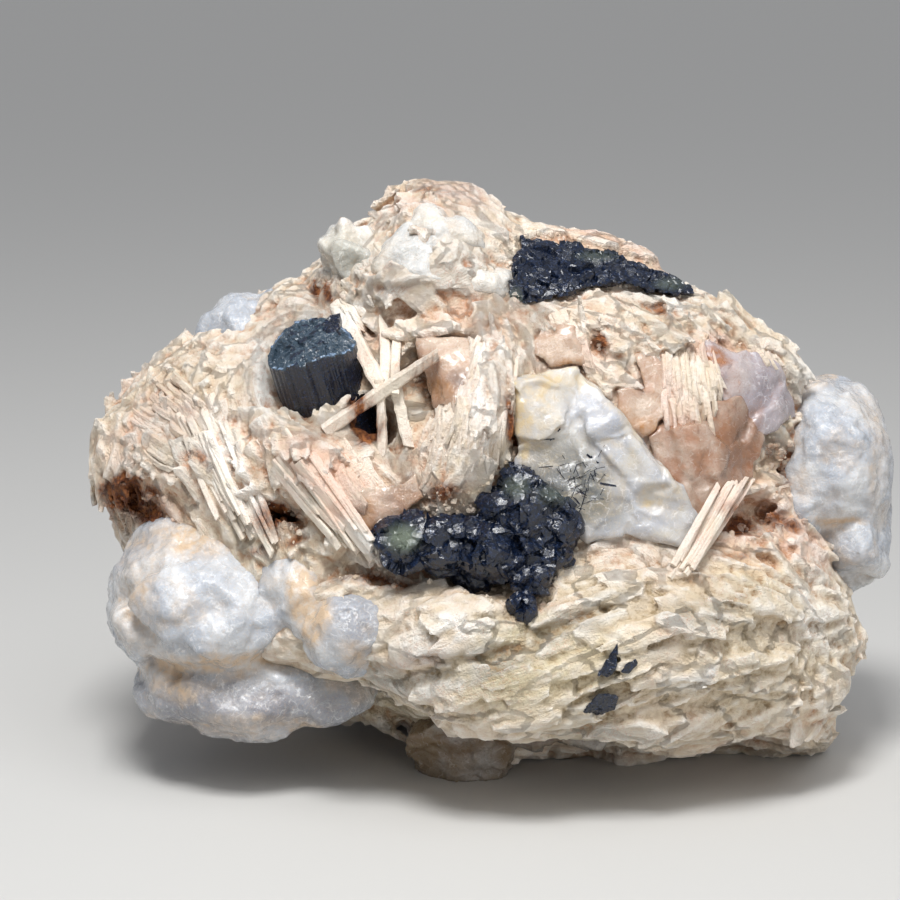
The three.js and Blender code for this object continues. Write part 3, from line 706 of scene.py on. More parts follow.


# What a user may change in the albite: its colours by stain, the colour of its painted shade in the
# hollows, sheen and depth of grain.
albiteLook = {
    "cream": srgb(236, 217, 188),
    "peach": srgb(218, 160, 124),
    "rust": srgb(158, 98, 52),
    "deepRust": srgb(92, 46, 22),
    "yellow": srgb(220, 205, 166),
    "grey": srgb(160, 152, 134),
    "shade": srgb(146, 124, 88),
    "pale": srgb(252, 248, 240),
    "roughness": 0.56,
    "grainDepth": 0.00028,
}


def makeAlbite(name, look):
    material, tree, shader = newMaterial(name)
    grain = grouped(tree, grainGroup, Fineness=1.0)
    cloud = grouped(tree, cloudGroup, Size=0.0045, Seed=3.0)
    sugar = grouped(tree, cloudGroup, Size=0.0016, Seed=9.0)
    streak = ramp(tree, grain.outputs["Streak"], 0.38, 0.66)
    mottle = ramp(tree, grain.outputs["Mottle"], 0.36, 0.64)
    patchy = ramp(tree, cloud.outputs["Cloud"], 0.35, 0.65)
    speckle = ramp(tree, cloud.outputs["Fine"], 0.4, 0.62)
    wobble = plus(tree, times(tree, patchy, 0.65), times(tree, streak, 0.3))
    wobble = plus(tree, wobble, times(tree, mottle, 0.5))

    def stained(kind, gain, threshold=0.0):
        return minus(tree, times(tree, times(tree, mask(tree, kind), gain), wobble), threshold, True)

    # Bands and white grains, then the stain marks over them, the grey ones partly painted shade
    colour = mixColour(tree, times(tree, minus(tree, 1.0, mottle), 0.3), look["cream"], look["grey"])
    white = times(tree, ramp(tree, sugar.outputs["Cloud"], 0.5, 0.68), 0.6)
    colour = mixColour(tree, white, colour, look["pale"])
    for kind, gain in (("yellow", 0.9), ("peach", 0.95), ("grey", 0.9), ("pale", 1.1)):
        colour = mixColour(tree, stained(kind, gain), colour, look[kind])
    # Paler by the tone: at random on blades and crumbs, and a painted highlight on the rock's ridges.
    colour = mixColour(tree, times(tree, mask(tree, "tone"), 0.6), colour, look["pale"])

    # Brown veins, then the hollows tan, partly their ochre stain and partly painted shade, greener
    # where the rock is yellow, then the rust of the pits
    tan = mixColour(tree, 0.4, look["peach"], look["rust"])
    vein = maths(tree, "ABSOLUTE", minus(tree, sugar.outputs["Fine"], 0.5))
    vein = minus(tree, 1.0, ramp(tree, vein, 0.0, 0.035))
    vein = times(tree, vein, times(tree, speckle, plus(tree, patchy, 0.15)))
    colour = mixColour(tree, times(tree, vein, 0.75), colour, tan)
    tan = mixColour(tree, times(tree, mask(tree, "yellow"), 0.9, True), tan, look["shade"])
    hollowShade = times(tree, mask(tree, "hollow"), plus(tree, speckle, 0.4), True)
    colour = mixColour(tree, times(tree, hollowShade, 0.8), colour, tan)
    inPits = times(tree, mask(tree, "pit"), plus(tree, patchy, 0.45), True)
    rusty = plus(tree, stained("rust", 1.1, 0.1), inPits, True)
    colour = mixColour(tree, rusty, colour, mixColour(tree, speckle, look["deepRust"], look["rust"]))
    tree.links.new(colour, shader.inputs["Base Color"])

    rough = plus(tree, look["roughness"] - 0.12, times(tree, speckle, 0.24))
    tree.links.new(rough, shader.inputs["Roughness"])
    height = plus(tree, grain.outputs["Height"], cloud.outputs["Fine"])
    height = plus(tree, height, sugar.outputs["Fine"])
    tree.links.new(bump(tree, height, look["grainDepth"]), shader.inputs["Normal"])
    setPlain(shader, {"Specular IOR Level": 0.45})
    return material


# What a user may change in the quartz: colours, how rough, chipped, cloudy, clear and wet it looks.
quartzLooks = {
    "milky": {
        "body": srgb(173, 179, 188), "cloud": srgb(212, 213, 214), "stain": srgb(206, 182, 154),
        "smoky": srgb(134, 134, 140), "crack": srgb(240, 240, 240),
        "cloudSize": 0.007, "roughness": 0.24, "chipped": 0.6, "wet": 0.15,
        "subsurface": 0.35, "reach": 0.002, "transmission": 0.0,
    },
    "glassyPale": {
        "body": srgb(192, 196, 206), "cloud": srgb(224, 221, 215), "stain": srgb(226, 206, 170),
        "smoky": srgb(128, 130, 128), "crack": srgb(252, 252, 255),
        "cloudSize": 0.007, "roughness": 0.12, "chipped": 0.5, "wet": 0.25,
        "subsurface": 0.45, "reach": 0.002, "transmission": 0.2,
    },
    "crown": {
        "body": srgb(196, 197, 196), "cloud": srgb(226, 220, 210), "stain": srgb(206, 178, 144),
        "smoky": srgb(160, 160, 146), "crack": srgb(250, 248, 244),
        "cloudSize": 0.007, "roughness": 0.24, "chipped": 0.8, "wet": 0.1,
        "subsurface": 0.35, "reach": 0.0015, "transmission": 0.0,
    },
    "amber": {
        "body": srgb(206, 148, 108), "cloud": srgb(238, 214, 194), "stain": srgb(186, 122, 76),
        "smoky": srgb(164, 138, 120), "crack": srgb(255, 240, 226),
        "cloudSize": 0.004, "roughness": 0.08, "chipped": 0.5, "wet": 0.8,
        "subsurface": 0.3, "reach": 0.0015, "transmission": 0.5,
    },
    "rosy": {
        "body": srgb(202, 164, 140), "cloud": srgb(232, 210, 190), "stain": srgb(196, 142, 88),
        "smoky": srgb(150, 132, 122), "crack": srgb(252, 240, 228),
        "cloudSize": 0.005, "roughness": 0.1, "chipped": 0.6, "wet": 0.5,
        "subsurface": 0.3, "reach": 0.0015, "transmission": 0.25,
    },
    "lilac": {
        "body": srgb(190, 182, 188), "cloud": srgb(218, 206, 202), "stain": srgb(184, 128, 92),
        "smoky": srgb(150, 144, 152), "crack": srgb(244, 240, 244),
        "cloudSize": 0.007, "roughness": 0.16, "chipped": 0.6, "wet": 0.25,
        "subsurface": 0.4, "reach": 0.002, "transmission": 0.2,
    },
    "foot": {
        "body": srgb(158, 138, 112), "cloud": srgb(186, 180, 172), "stain": srgb(134, 92, 50),
        "smoky": srgb(100, 96, 92), "crack": srgb(214, 206, 194),
        "cloudSize": 0.007, "roughness": 0.12, "chipped": 0.6, "wet": 0.3,
        "subsurface": 0.3, "reach": 0.002, "transmission": 0.3,
    },
}


def makeQuartz(name, look):
    material, tree, shader = newMaterial(name)
    cloud = grouped(tree, cloudGroup, Size=look["cloudSize"], Seed=1.0)
    veil = ramp(tree, cloud.outputs["Cloud"], 0.36, 0.66)
    colour = mixColour(tree, veil, look["body"], look["cloud"])
    fine = ramp(tree, cloud.outputs["Fine"], 0.35, 0.7)
    stain = times(tree, mask(tree, "rust"), plus(tree, fine, 0.5), clamp=True)
    grit = grouped(tree, cloudGroup, Size=0.0016, Seed=5.0)
    cracks = maths(tree, "ABSOLUTE", minus(tree, grit.outputs["Cloud"], 0.5))
    cracks = times(tree, minus(tree, 1.0, ramp(tree, cracks, 0.0, 0.03)), fine)
    # Smoky where the quartz is clear, and painted shade low on the left quartz.
    colour = mixColour(tree, mask(tree, "smoky"), colour, look["smoky"])
    tint = times(tree, ramp(tree, grit.outputs["Fine"], 0.48, 0.7), 0.35)
    colour = mixColour(tree, tint, colour, look["stain"])
    colour = mixColour(tree, times(tree, cracks, 0.7), colour, look["crack"])
    colour = mixColour(tree, stain, colour, look["stain"])
    tree.links.new(colour, shader.inputs["Base Color"])
    rough = plus(tree, look["roughness"] - 0.06, times(tree, fine, 0.2))
    tree.links.new(rough, shader.inputs["Roughness"])
    chips = node(tree, "ShaderNodeTexVoronoi", {
        "Vector": node(tree, "ShaderNodeTexCoord").outputs["Object"], "Scale": 700.0,
    })
    height = plus(tree, cloud.outputs["Fine"], times(tree, chips.outputs["Distance"], 0.5))
    height = plus(tree, height, times(tree, grit.outputs["Fine"], 0.5))
    height = minus(tree, height, times(tree, cracks, 0.15))
    broken = bump(tree, height, distance=0.0004, strength=look["chipped"])
    tree.links.new(broken, shader.inputs["Normal"])
    setPlain(shader, {
        "IOR": 1.544,
        "Subsurface Weight": look["subsurface"],
        "Subsurface Radius": (1.0, 0.9, 0.8),
        "Subsurface Scale": look["reach"],
        "Transmission Weight": look["transmission"],
        "Coat Weight": look["wet"],
        "Coat Roughness": 0.06,
    })
    return material


tourmalineLook = {
    "body": srgb(9, 15, 29),
    "sheen": srgb(34, 56, 94),
    "green": srgb(124, 134, 116),
    "end": srgb(54, 72, 88),
    "fleck": srgb(140, 164, 194),
    "roughness": 0.24,
}


def makeTourmaline(name, look):
    material, tree, shader = newMaterial(name)
    cloud = grouped(tree, cloudGroup, Size=0.0022, Seed=7.0)
    fine = ramp(tree, cloud.outputs["Fine"], 0.42, 0.7)
    colour = mixColour(tree, times(tree, fine, 0.5), look["body"], look["sheen"])
    colour = mixColour(tree, mask(tree, "green"), colour, look["green"])
    colour = mixColour(tree, mask(tree, "end"), colour, look["end"])
    # Painted glints: small bright points of pale blue over the dark crystal.
    paintedGlints = ramp(tree, cloud.outputs["Fine"], 0.69, 0.72)
    colour = mixColour(tree, times(tree, paintedGlints, 0.5), colour, look["fleck"])
    # Painted glints along the rim of the prism's broken end.
    colour = mixColour(tree, mask(tree, "rim"), colour, look["fleck"])
    tree.links.new(colour, shader.inputs["Base Color"])
    rough = plus(tree, look["roughness"] - 0.1, times(tree, fine, 0.18))
    tree.links.new(rough, shader.inputs["Roughness"])
    grain = bump(tree, cloud.outputs["Fine"], distance=0.0002, strength=0.5)
    tree.links.new(grain, shader.inputs["Normal"])
    setPlain(shader, {"IOR": 1.63})
    return material


albite = makeAlbite("platyAlbite", albiteLook)
bladeLook = {**albiteLook, "cream": srgb(244, 234, 216), "roughness": 0.5, "grainDepth": 0.00018}
bladeAlbite = makeAlbite("bladedAlbite", bladeLook)
quartzFinish = {name: makeQuartz(name + "Quartz", look) for name, look in quartzLooks.items()}
tourmaline = makeTourmaline("tourmalineDark", tourmalineLook)
print("materials made")


# Masks that every albite piece carries: stains by where it lies on the front, and its tone and
# hollows, which on the rock paint a highlight on ridges and shade in hollows.
def stainAndPaintedLightMasks(mesh, points, level, hollow):
    across, up, deep = seenAt(points)
    wander = softNoise(points / 5, 90) * 1.6
    front = np.clip((frontDepth(across, up) + 16 - deep) / 8, 0, 1)
    amounts = {kind: np.full(len(points), base) for kind, base in stainBase.items()}
    for kind, marks in stainsAndShade.items():
        for at, size, turn, strength in marks:
            spot = oval(across + wander, up - wander, at, size, turn, power=0.8)
            amounts[kind] += front * strength * spot
    patches = {kind: softNoise(points / 11, 91 + n) for n, kind in enumerate(stainsAndShade)}
    for kind in ("peach", "yellow", "grey", "pale"):
        amounts[kind] = np.clip(amounts[kind] + (0.25 + 0.5 * (1 - front)) * patches[kind], 0, 1.3)
    amounts["rust"] += (1 - front) * np.clip(patches["rust"] * 2 - 0.9, 0, 0.7)
    for kind, amount in amounts.items():
        setMask(mesh, kind, amount)
    # On the rock the tone is a painted highlight on its ridges; on blades and crumbs it is random.
    setMask(mesh, "tone", level)
    # Painted shade: the hollow mask colours the albite's hollows tan.
    setMask(mesh, "hollow", hollow)


# Quartz lumps: middle, radii, turn, seed and how far they swell.
leftLumps = [
    (place(-33, -20, -7.4), (12.8, 15, 9.2), -12, 11, 0.8),
    (place(-39.5, -20.5, -2), (6.4, 14, 8.8), 0, 12, 0.7),
    (place(-26.4, -21.4, -7.6), (8.4, 13, 7.4), -8, 16, 0.7),
    (place(-34, -12.4, -6), (10, 11, 4.4), 4, 13, 0.6),
    (place(-27, -30.8, -6.4), (12.9, 13, 7.2), 2, 14, 0.8),
    (place(-36.6, -30.4, -2), (5.8, 13, 6.8), 20, 15, 0.6),
    (place(-18, -32.2, -7), (8, 11, 4.6), 8, 17, 0.6),
    (onFront(-13, -24.2, -4.6), (7.4, 7.6, 6.2), 12, 18, 0.6),
    (onFront(-19.8, -20, -5.6), (5, 7, 7.4), 20, 19, 0.6),
]
rightLumps = [
    (place(49.8, -3, 2.6), (9.8, 13, 13.6), 14, 31, 0.9),
    (place(53, 1, 6), (6.4, 11, 9.6), 14, 32, 0.6),
    (place(53.6, -11, 3), (6.6, 11, 9.2), -4, 33, 0.6),
]
knobLumps = [
    (place(-28.4, 15.4, 2.6), (6.6, 8, 6), 26, 41, 0.6),
    (place(-23.4, 19.4, 2), (3, 5, 2.8), 0, 42, 0.5),
]
crownLumps = [
    (onFront(3.4, 22.6, -4.4), (6.8, 4.8, 2.8), -4, 45, 4),
    (onFront(-4, 25.4, -5.2), (7.4, 6, 4.8), 20, 46, 5),
    (onFront(0, 29, -5), (5, 5, 3.6), -30, 48, 4),
    (onFront(-12.6, 25.4, -4.6), (4, 5, 5.6), 38, 47, 4),
]
milkyLumps = leftLumps + rightLumps + knobLumps + crownLumps


# Whether a place is inside a quartz lump, with a little to spare.
def inLumps(points, spare):
    inside = np.zeros(len(points), bool)
    for at, radii, turn, *_ in milkyLumps:
        spin = np.array(Matrix.Rotation(-math.radians(turn), 3, "Y"))
        inside |= ((((points - at) @ spin) / (np.array(radii) + spare)) ** 2).sum(1) < 0.9
    return inside


# The book of plates that a point is in, and the way that its plates lie.
def lieAt(points):
    warped = points + np.stack([softNoise(points / 4, 31 + n) for n in range(3)], 1) * 1.3
    lie = plateLie(*seenAt(points)[:2])[0]
    lean = np.cos(lie)[:, None] * rightWay + np.sin(lie)[:, None] * upWay
    stretched = warped - 0.5 * (warped * lean).sum(1)[:, None] * lean
    bookAt = nearestCells(stretched / rock["bookSize"], 41)
    book = wholeOf(bookAt[:, 0] * 0.37 + bookAt[:, 1] * 0.71 + bookAt[:, 2])
    bearing, width, length, relief, wander = plateLie(*seenAt(points)[:2])
    bearing = bearing + np.radians(wander) * (scatter(book, 50) - 0.5) * 2
    lean = (scatter(book, 51) - 0.5) * 0.5
    cosines, sines = np.cos(bearing)[:, None], np.sin(bearing)[:, None]
    along = cosines * rightWay + sines * upWay + lean[:, None] * awayWay
    over = cosines * upWay - sines * rightWay
    over = over + ((scatter(book, 52) - 0.5) * 0.9)[:, None] * awayWay
    return {
        "book": book, "along": along, "over": over, "width": width, "length": length, "relief": relief,
    }


def buildRock():
    bm = bmesh.new()
    bmesh.ops.create_icosphere(bm, subdivisions=7, radius=1)
    front = [f for f in bm.faces if f.calc_center_median().y < -0.12]
    edges = {e for f in front for e in f.edges}
    bmesh.ops.subdivide_edges(bm, edges=list(edges), cuts=1, use_grid_fill=True)
    bmesh.ops.triangulate(bm, faces=[f for f in bm.faces if len(f.verts) > 3])
    piece = newPiece("albiteRock", bm)
    mesh = piece.data
    ways = pointsOf(mesh)
    ways /= np.linalg.norm(ways, axis=1)[:, None]

    out = np.minimum(1, np.hypot(ways[:, 0], ways[:, 2]))
    bearing = np.arctan2(ways[:, 2], ways[:, 0])
    reach = outlineReach(bearing) * out
    across = rock["centre"][0] + reach * np.cos(bearing)
    up = rock["centre"][1] + reach * np.sin(bearing)
    behind = np.clip(ways[:, 1], 0, None)
    depth = np.where(
        behind > 0,
        rock["backDepth"] * fullness(out),
        -(rock["frontDepth"] + formHeight(across, up)) * fullness(out),
    )
    points = place(across, up, rimDepth(bearing, out) + depth)
    heel = np.clip((behind - rock["heelStart"]) / rock["heelSpread"], 0, 1)
    points[:, 2] -= rock["heelDrop"] * np.clip(-ways[:, 2], 0, None) * heel
    for toward, limit in backBreaks:
        toward = np.array(toward) / np.linalg.norm(toward)
        beyond = (points - layout["middle"]) @ toward - limit
        points -= np.clip(beyond, 0, None)[:, None] * toward * rock["breakFlatness"]
    setPoints(mesh, points)
    outward = outwardOf(mesh)

    # Large swells and big flat breaks, stronger on the back, where nothing else shapes it.
    atBack = np.clip(ways[:, 1] * 3 + 0.4, 0, 1)
    swell = softNoise(points / 14, 11) * 0.5 + softNoise(points / 7, 12) * 0.35
    big = flatBreaks(points, size=11, tilt=0.35, step=0.8, seed=21)
    mid = flatBreaks(points, size=4.5, tilt=0.5, step=0.5, seed=22)
    lift = swell + big * (0.55 + 1.1 * atBack) + mid * (0.4 + 0.8 * atBack) - rock["inset"]

    lie = lieAt(points)
    args = (points, lie["along"], lie["over"])
    coarse = plates(*args, lie["width"], lie["length"], lie["book"], seed=61)
    fine = plates(*args, lie["width"] * 0.42, lie["length"] * 0.5, lie["book"], seed=71)
    lift = lift + lie["relief"] * (0.8 * coarse + 0.3 * fine)

    # The ledges of the lower mass, and the pits.
    across, up, deep = seenAt(points)
    onFace = np.clip((frontDepth(across, up) + 8 - deep) / 4, 0, 1)
    for at, long, high, turn in ledges:
        x, y = turned(across, up, at, turn)
        rise = np.clip((high - y) / (2 * high), 0, 1) * (y > -high)
        lift += rock["ledgeRise"] * rise * np.clip(1 - (x / long) ** 2, 0, 1) ** 0.5 * onFace
    pit = pitDepth(across, up) * onFace
    isUnder = covered(across, up, 0.5) & (deep < frontDepth(across, up) + 8)
    lift = np.where(isUnder, np.minimum(lift, -0.8), lift)
    inDip = within(across, up, latticeDip)
    lift = np.where(inDip, np.minimum(lift, 0) * 0.6 - 1.6, lift)
    points = points + outward * lift[:, None] + awayWay * pit[:, None]
    setPoints(mesh, points)
    isNear = covered(across, up, 0.9) | (covered(across, up, 1.8) & (softNoise(points / 3, 24) > -0.1))
    isNear &= deep < frontDepth(across, up) + 8
    surface = {**lie, "points": points, "outward": outward}
    surface["isBare"] = isNear | inDip | (pit > 0.8)
    return piece, surface


# Loose-edged plates all over the rock, in books that lie the way of the rock under them.
plateSets = [
    {
        "spacing": 3.2, "wide": 1.6, "long": 1.3, "thick": 1.0, "proud": (-1.0, -0.25), "roll": 6,
        "pitch": 3, "spread": 0.7, "patch": -1, "seed": 201,
    },
    {
        "spacing": 2.1, "wide": 0.8, "long": 1.0, "thick": 0.9, "proud": (-0.85, -0.15), "roll": 9,
        "pitch": 3, "spread": 0.6, "patch": 1, "seed": 202,
    },
    {
        "spacing": 1.8, "wide": 0.5, "long": 0.9, "thick": 0.8, "proud": (-0.7, -0.05), "roll": 12,
        "pitch": 3, "spread": 0.6, "patch": 2, "seed": 203,
    },
]


def longEdges(part):
    return [e for e in part.edges if abs(e.verts[0].co.x - e.verts[1].co.x) > 0.5]


# A bar one unit long, wide and thick, with its long edges bevelled off, or only the upper ones.
def bevelledBar(cuts, upperOnly=False):
    part = bmesh.new()
    bmesh.ops.create_cube(part, size=1)
    edges = [e for e in longEdges(part) if not upperOnly or all(v.co.z > 0 for v in e.verts)]
    bmesh.ops.bevel(
        part, geom=edges, offset=0.16, segments=1, profile=0.5, affect="EDGES", material=-1
    )
    bmesh.ops.subdivide_edges(part, edges=longEdges(part), cuts=cuts)
    return part


def repeated(name, part, count):
    piece = newPiece(name, part)
    array = piece.modifiers.new("Array", "ARRAY")
    array.count = count
    array.use_relative_offset = False
    one = len(piece.data.vertices)
    applied(piece)
    return piece, one


def buildPlates(values, surface):
    draw = np.random.RandomState(values["seed"])
    order = draw.permutation(len(surface["points"]))
    cells = np.floor(surface["points"][order] / values["spacing"])
    marks = scatter(cells[:, 0], cells[:, 1], cells[:, 2], values["seed"])
    _, first = np.unique(marks, return_index=True)
    picked = order[first]
    at = surface["points"][picked]
    keep = ~surface["isBare"][picked] & ~inLumps(at, -0.3) & (at[:, 2] > 1.5)
    patch = softNoise(at / 8, 205) + 0.4 * softNoise(at / 3, 206)
    keep &= patch * values["patch"] < 0.3
    picked, at = picked[keep], at[keep]
    count = len(picked)
    book = surface["book"][picked]
    outward = surface["outward"][picked]
    up = outward + (np.stack([scatter(book, 210 + n) for n in range(3)], 1) - 0.5) * 0.22
    up /= np.linalg.norm(up, axis=1)[:, None]
    along = surface["along"][picked]
    along = along - (along * up).sum(1)[:, None] * up
    along = along + draw.normal(0, 0.07, (count, 3))
    along = along + up * draw.normal(0, values["pitch"] / 90, (count, 1))
    along /= np.linalg.norm(along, axis=1)[:, None]
    side = np.cross(up, along)
    side /= np.linalg.norm(side, axis=1)[:, None]
    face = np.cross(along, side)
    roll = np.radians(values["roll"]) * (scatter(book, 220) * 2 - 1 + draw.uniform(-0.35, 0.35, count))
    # The flakes of the lower mass hang over each other.
    low = np.clip((-14 - seenAt(at)[1]) / 6, 0, 1)
    roll = roll * (1 - 0.4 * low) + math.radians(-7) * low
    cosines, sines = np.cos(roll)[:, None], np.sin(roll)[:, None]
    side, face = side * cosines + face * sines, face * cosines - side * sines
    spread = values["spread"]
    wide = surface["width"][picked] * values["wide"] * np.exp(draw.normal(0, spread, count) * 0.7)
    long = surface["length"][picked] * values["long"] * np.exp(draw.normal(0, spread, count) * 0.7)
    long = np.clip(long, wide * 1.2, 9)
    # Nothing long stands out where the rock turns away from the eye.
    facing = np.clip(np.abs(outward @ awayWay) * 2, 0.4, 1)
    long, wide = long * facing, wide * facing
    thick = values["thick"] * draw.uniform(0.7, 1.2, count)
    behind = np.clip(outward @ awayWay * 2, 0, 1)
    sunk = 0.7 * (1 - facing) + 0.3 * behind
    at = at + up * (draw.uniform(*values["proud"], count) - sunk)[:, None]

    part = bevelledBar(3, upperOnly=True)
    bmesh.ops.recalc_face_normals(part, faces=part.faces)
    piece, one = repeated("plates", part, count)
    mesh = piece.data
    local = pointsOf(mesh)
    which = np.repeat(np.arange(count), one)
    x, y, z = local.T
    end = np.sign(np.round(x, 2))
    edge = np.sign(np.round(y, 2))
    isEnd = np.abs(x) > 0.45
    broken = (scatter(which, end, edge, 230) - 0.5) * 0.8 * (wide / long)[which] * isEnd
    pinch = 1 - 0.8 * scatter(which, end, 231) * isEnd
    waist = 0.9 + 0.22 * scatter(which, np.round(x * 4), edge, 232)
    sink = -0.35 * isEnd * scatter(which, end, 233)
    bow = (scatter(which, 234) - 0.5) * 0.06 * (1 - (2 * x) ** 2)
    points = (
        at[which]
        + along[which] * ((x + broken) * long[which])[:, None]
        + side[which] * (y * pinch * waist * wide[which] + bow * long[which])[:, None]
        + face[which] * ((z + sink * (z > 0)) * thick[which])[:, None]
    )
    setPoints(mesh, points)
    return piece


# Grows the plates onto the rock, and cuts the underside flat.
def weldRock():
    piece, surface = buildRock()
    bm = bmesh.new()
    for part in [piece] + [buildPlates(values, surface) for values in plateSets]:
        bm.from_mesh(part.data)
        bpy.data.meshes.remove(part.data)
    piece = fused("albiteRock", bm, rock["voxel"])
    print("rock fused", len(piece.data.polygons))
    thinned(piece, min(1, rock["triangles"] / (2 * len(piece.data.polygons))))
    mesh, points, outward = surfaceOf(piece)
    crumb = flatBreaks(points, size=1.0, tilt=0.7, step=0.5, seed=81)
    sugar = softNoise(points / 1.1, 82) * 0.12 + softNoise(points / 0.55, 83) * 0.08
    points = points + outward * (crumb * 0.16 + sugar)[:, None]
    points = drawnIn(points)
    points[:, 2] = np.maximum(points[:, 2], 0)
    setPoints(mesh, points)
    # Painted shade: the albite colours these hollows between the plates tan.
    hollow = np.clip(hollowness(mesh, points, outward, rounds=6) * 2.6, 0, 1)
    # Painted highlight: the albite colours these ridges paler.
    ridge = np.clip(-hollowness(mesh, points, outward, rounds=3) * 4, 0, 1)
    lie = lieAt(points)
    setVectors(mesh, "grain", np.stack([
        (points * lie["along"]).sum(1) + 30 * scatter(lie["book"], 53),
        (points * lie["over"]).sum(1) + 30 * scatter(lie["book"], 54),
        (points * np.cross(lie["along"], lie["over"])).sum(1),
    ], 1))
    across, up, deep = seenAt(points)
    pit = np.clip(pitDepth(across, up) / 2.6, 0, 1) * (deep < frontDepth(across, up) + 8)
    pit = pit * np.where(up < -15, 0.3, 0.9)
    setMask(mesh, "pit", pit)
    stainAndPaintedLightMasks(mesh, points, ridge, hollow)
    finishPiece(piece, albite, "albite_matrix")


weldRock()
print("rock built")


# How a lump is broken: how many flat breaks, how near the middle, and how far it swells.
lumpShape = {"breaks": 12, "nearest": 0.82, "swellSize": 2.2}


# An ellipsoid with flat breaks: across, deep and up radii, turned in the view.
def addLump(bm, at, radii, turn, seed, rough=0.6, fineness=5):
    made = bmesh.ops.create_icosphere(bm, subdivisions=fineness, radius=1)["verts"]
    ways = np.array([v.co for v in made])
    ways /= np.linalg.norm(ways, axis=1)[:, None]
    draw = np.random.RandomState(seed)
    reach = np.ones(len(ways))
    for _ in range(lumpShape["breaks"]):
        toward = draw.uniform(-1, 1, 3)
        toward /= np.linalg.norm(toward)
        limit = lumpShape["nearest"] + draw.uniform() * (1 - lumpShape["nearest"])
        reach = np.minimum(reach, limit / np.maximum(ways @ toward, 0.01))
    swell = softNoise(ways * lumpShape["swellSize"], seed) * rough / radii[0] / 3
    points = ways * radii * (reach + swell)[:, None]
    spin = np.array(Matrix.Rotation(-math.radians(turn), 3, "Y"))
    points = points @ spin.T + at
    for vertex, point in zip(made, points):
        vertex.co = point


# Breaks the surface in facets as wide as size, then wears their edges down.
def facetted(piece, size, tilt, wear, seed):
    points = pointsOf(piece.data)
    relief = flatBreaks(points, size, tilt, step=0, seed=seed)
    setPoints(piece.data, points + outwardOf(piece.data) * relief[:, None])
    if wear:
        smooth = piece.modifiers.new("Wear", "SMOOTH")
        smooth.factor = 0.6
        smooth.iterations = wear
        applied(piece)


# Stains of the quartz: where, half sizes, turn and strength.
quartzStains = [
    ((-33, -12), (12, 3), 5, 0.8), ((-43, -17), (3, 6), 0, 0.4), ((-19, -21), (2, 6), 10, 0.9),
    ((-30, -28.6), (12, 1.3), 4, 0.9), ((-38, -31), (5, 3), -30, 0.6),
    ((-28, -38), (14, 2), 0, 0.4), ((-12, -28), (4, 1.5), -30, 0.6), ((53, -9.5), (5, 0.8), 0, 1.0),
    ((58, 0), (1.6, 10), 0, 0.4), ((50, 10), (3, 2), 0, 0.6), ((-24, 16), (3, 2), 0, 0.4),
    ((-26, -29), (6, 2), 20, 0.6), ((-19, -20), (3, 7), 8, 0.9), ((9.2, 4), (1.8, 7), 5, 1.0),
    ((12, 6), (4.4, 6), 0, 0.6), ((16, 9.6), (5, 2), -10, 0.6), ((12, -1), (4, 3), 0, 0.4),
    ((24, 4), (6, 1.4), -48, 0.5), ((31, -4), (5, 1.2), -50, 0.5), ((29, -7), (4, 3), 0, 0.4),
    ((40.6, 0), (2, 8), -15, 0.5), ((36, 12.8), (3, 1.6), 0, 0.9), ((-12, -9.4), (2.4, 3), 0, 0.9),
    ((-2, 8), (4, 2), 0, 0.6), ((16, 11.6), (2, 1), 0, 0.8), ((27, 3), (2.4, 1.4), 0, 0.7),
]
# Where the quartz is clear and looks smoky, in the same order; the spots at (-33, -34.6) and (-19,
# -35) are painted shade on the underside of the left quartz.
smokyAndShadeSpots = [
    ((15.5, -4.6), (7, 6.4), -20, 0.9), ((20, -7), (5, 4), -30, 0.7), ((40, 2), (2.4, 8), -20, 0.7),
    ((-33, -34.6), (12, 5), 0, 0.9), ((-19, -35), (9, 4), 0, 0.8), ((44, 8), (3, 4), 30, 0.4),
    ((1.6, 9), (2.4, 2.6), 0, 0.9), ((-7, -6), (3, 2), 0, 0.5), ((-13, -24), (6, 5), 0, 0.6),
    ((-14, 26), (4, 5), 40, 0.6),
]


def quartzMasks(piece, outward, rounds, gain):
    mesh = piece.data
    points = pointsOf(mesh)
    across, up, _ = seenAt(points)
    wander = softNoise(points / 3, 105)
    rust = np.clip(hollowness(mesh, points, outward, rounds) * gain, 0, 0.5)
    rust += np.clip(softNoise(points / 5, 107) + 0.5 * softNoise(points / 1.6, 108) - 0.3, 0, 0.25)
    for at, size, turn, strength in quartzStains:
        spot = oval(across + wander, up + wander, at, size, turn, power=0.7)
        rust += 0.85 * strength * spot
    smoky = np.zeros(len(points))
    for at, size, turn, strength in smokyAndShadeSpots:
        spot = oval(across + wander * 0.6, up + wander * 0.6, at, size, turn, power=0.6)
        smoky += strength * spot
    setMask(mesh, "rust", np.clip(rust, 0, 1))
    setMask(mesh, "smoky", np.clip(smoky, 0, 1))


# Each milky piece: its lumps, node, voxel, the size of its breaks and its finish.
milkyPieces = {
    "milkyQuartzLeft": (leftLumps, "milky_quartz_left", 0.4, 8, "milky"),
    "milkyQuartzRight": (rightLumps, "milky_quartz_right", 0.4, 9, "milky"),
    "milkyQuartzKnob": (knobLumps, "milky_quartz_knob", 0.3, 5, "milky"),
    "milkyQuartzCrown": (crownLumps, "milky_quartz_crown", 0.3, 3, "crown"),
}


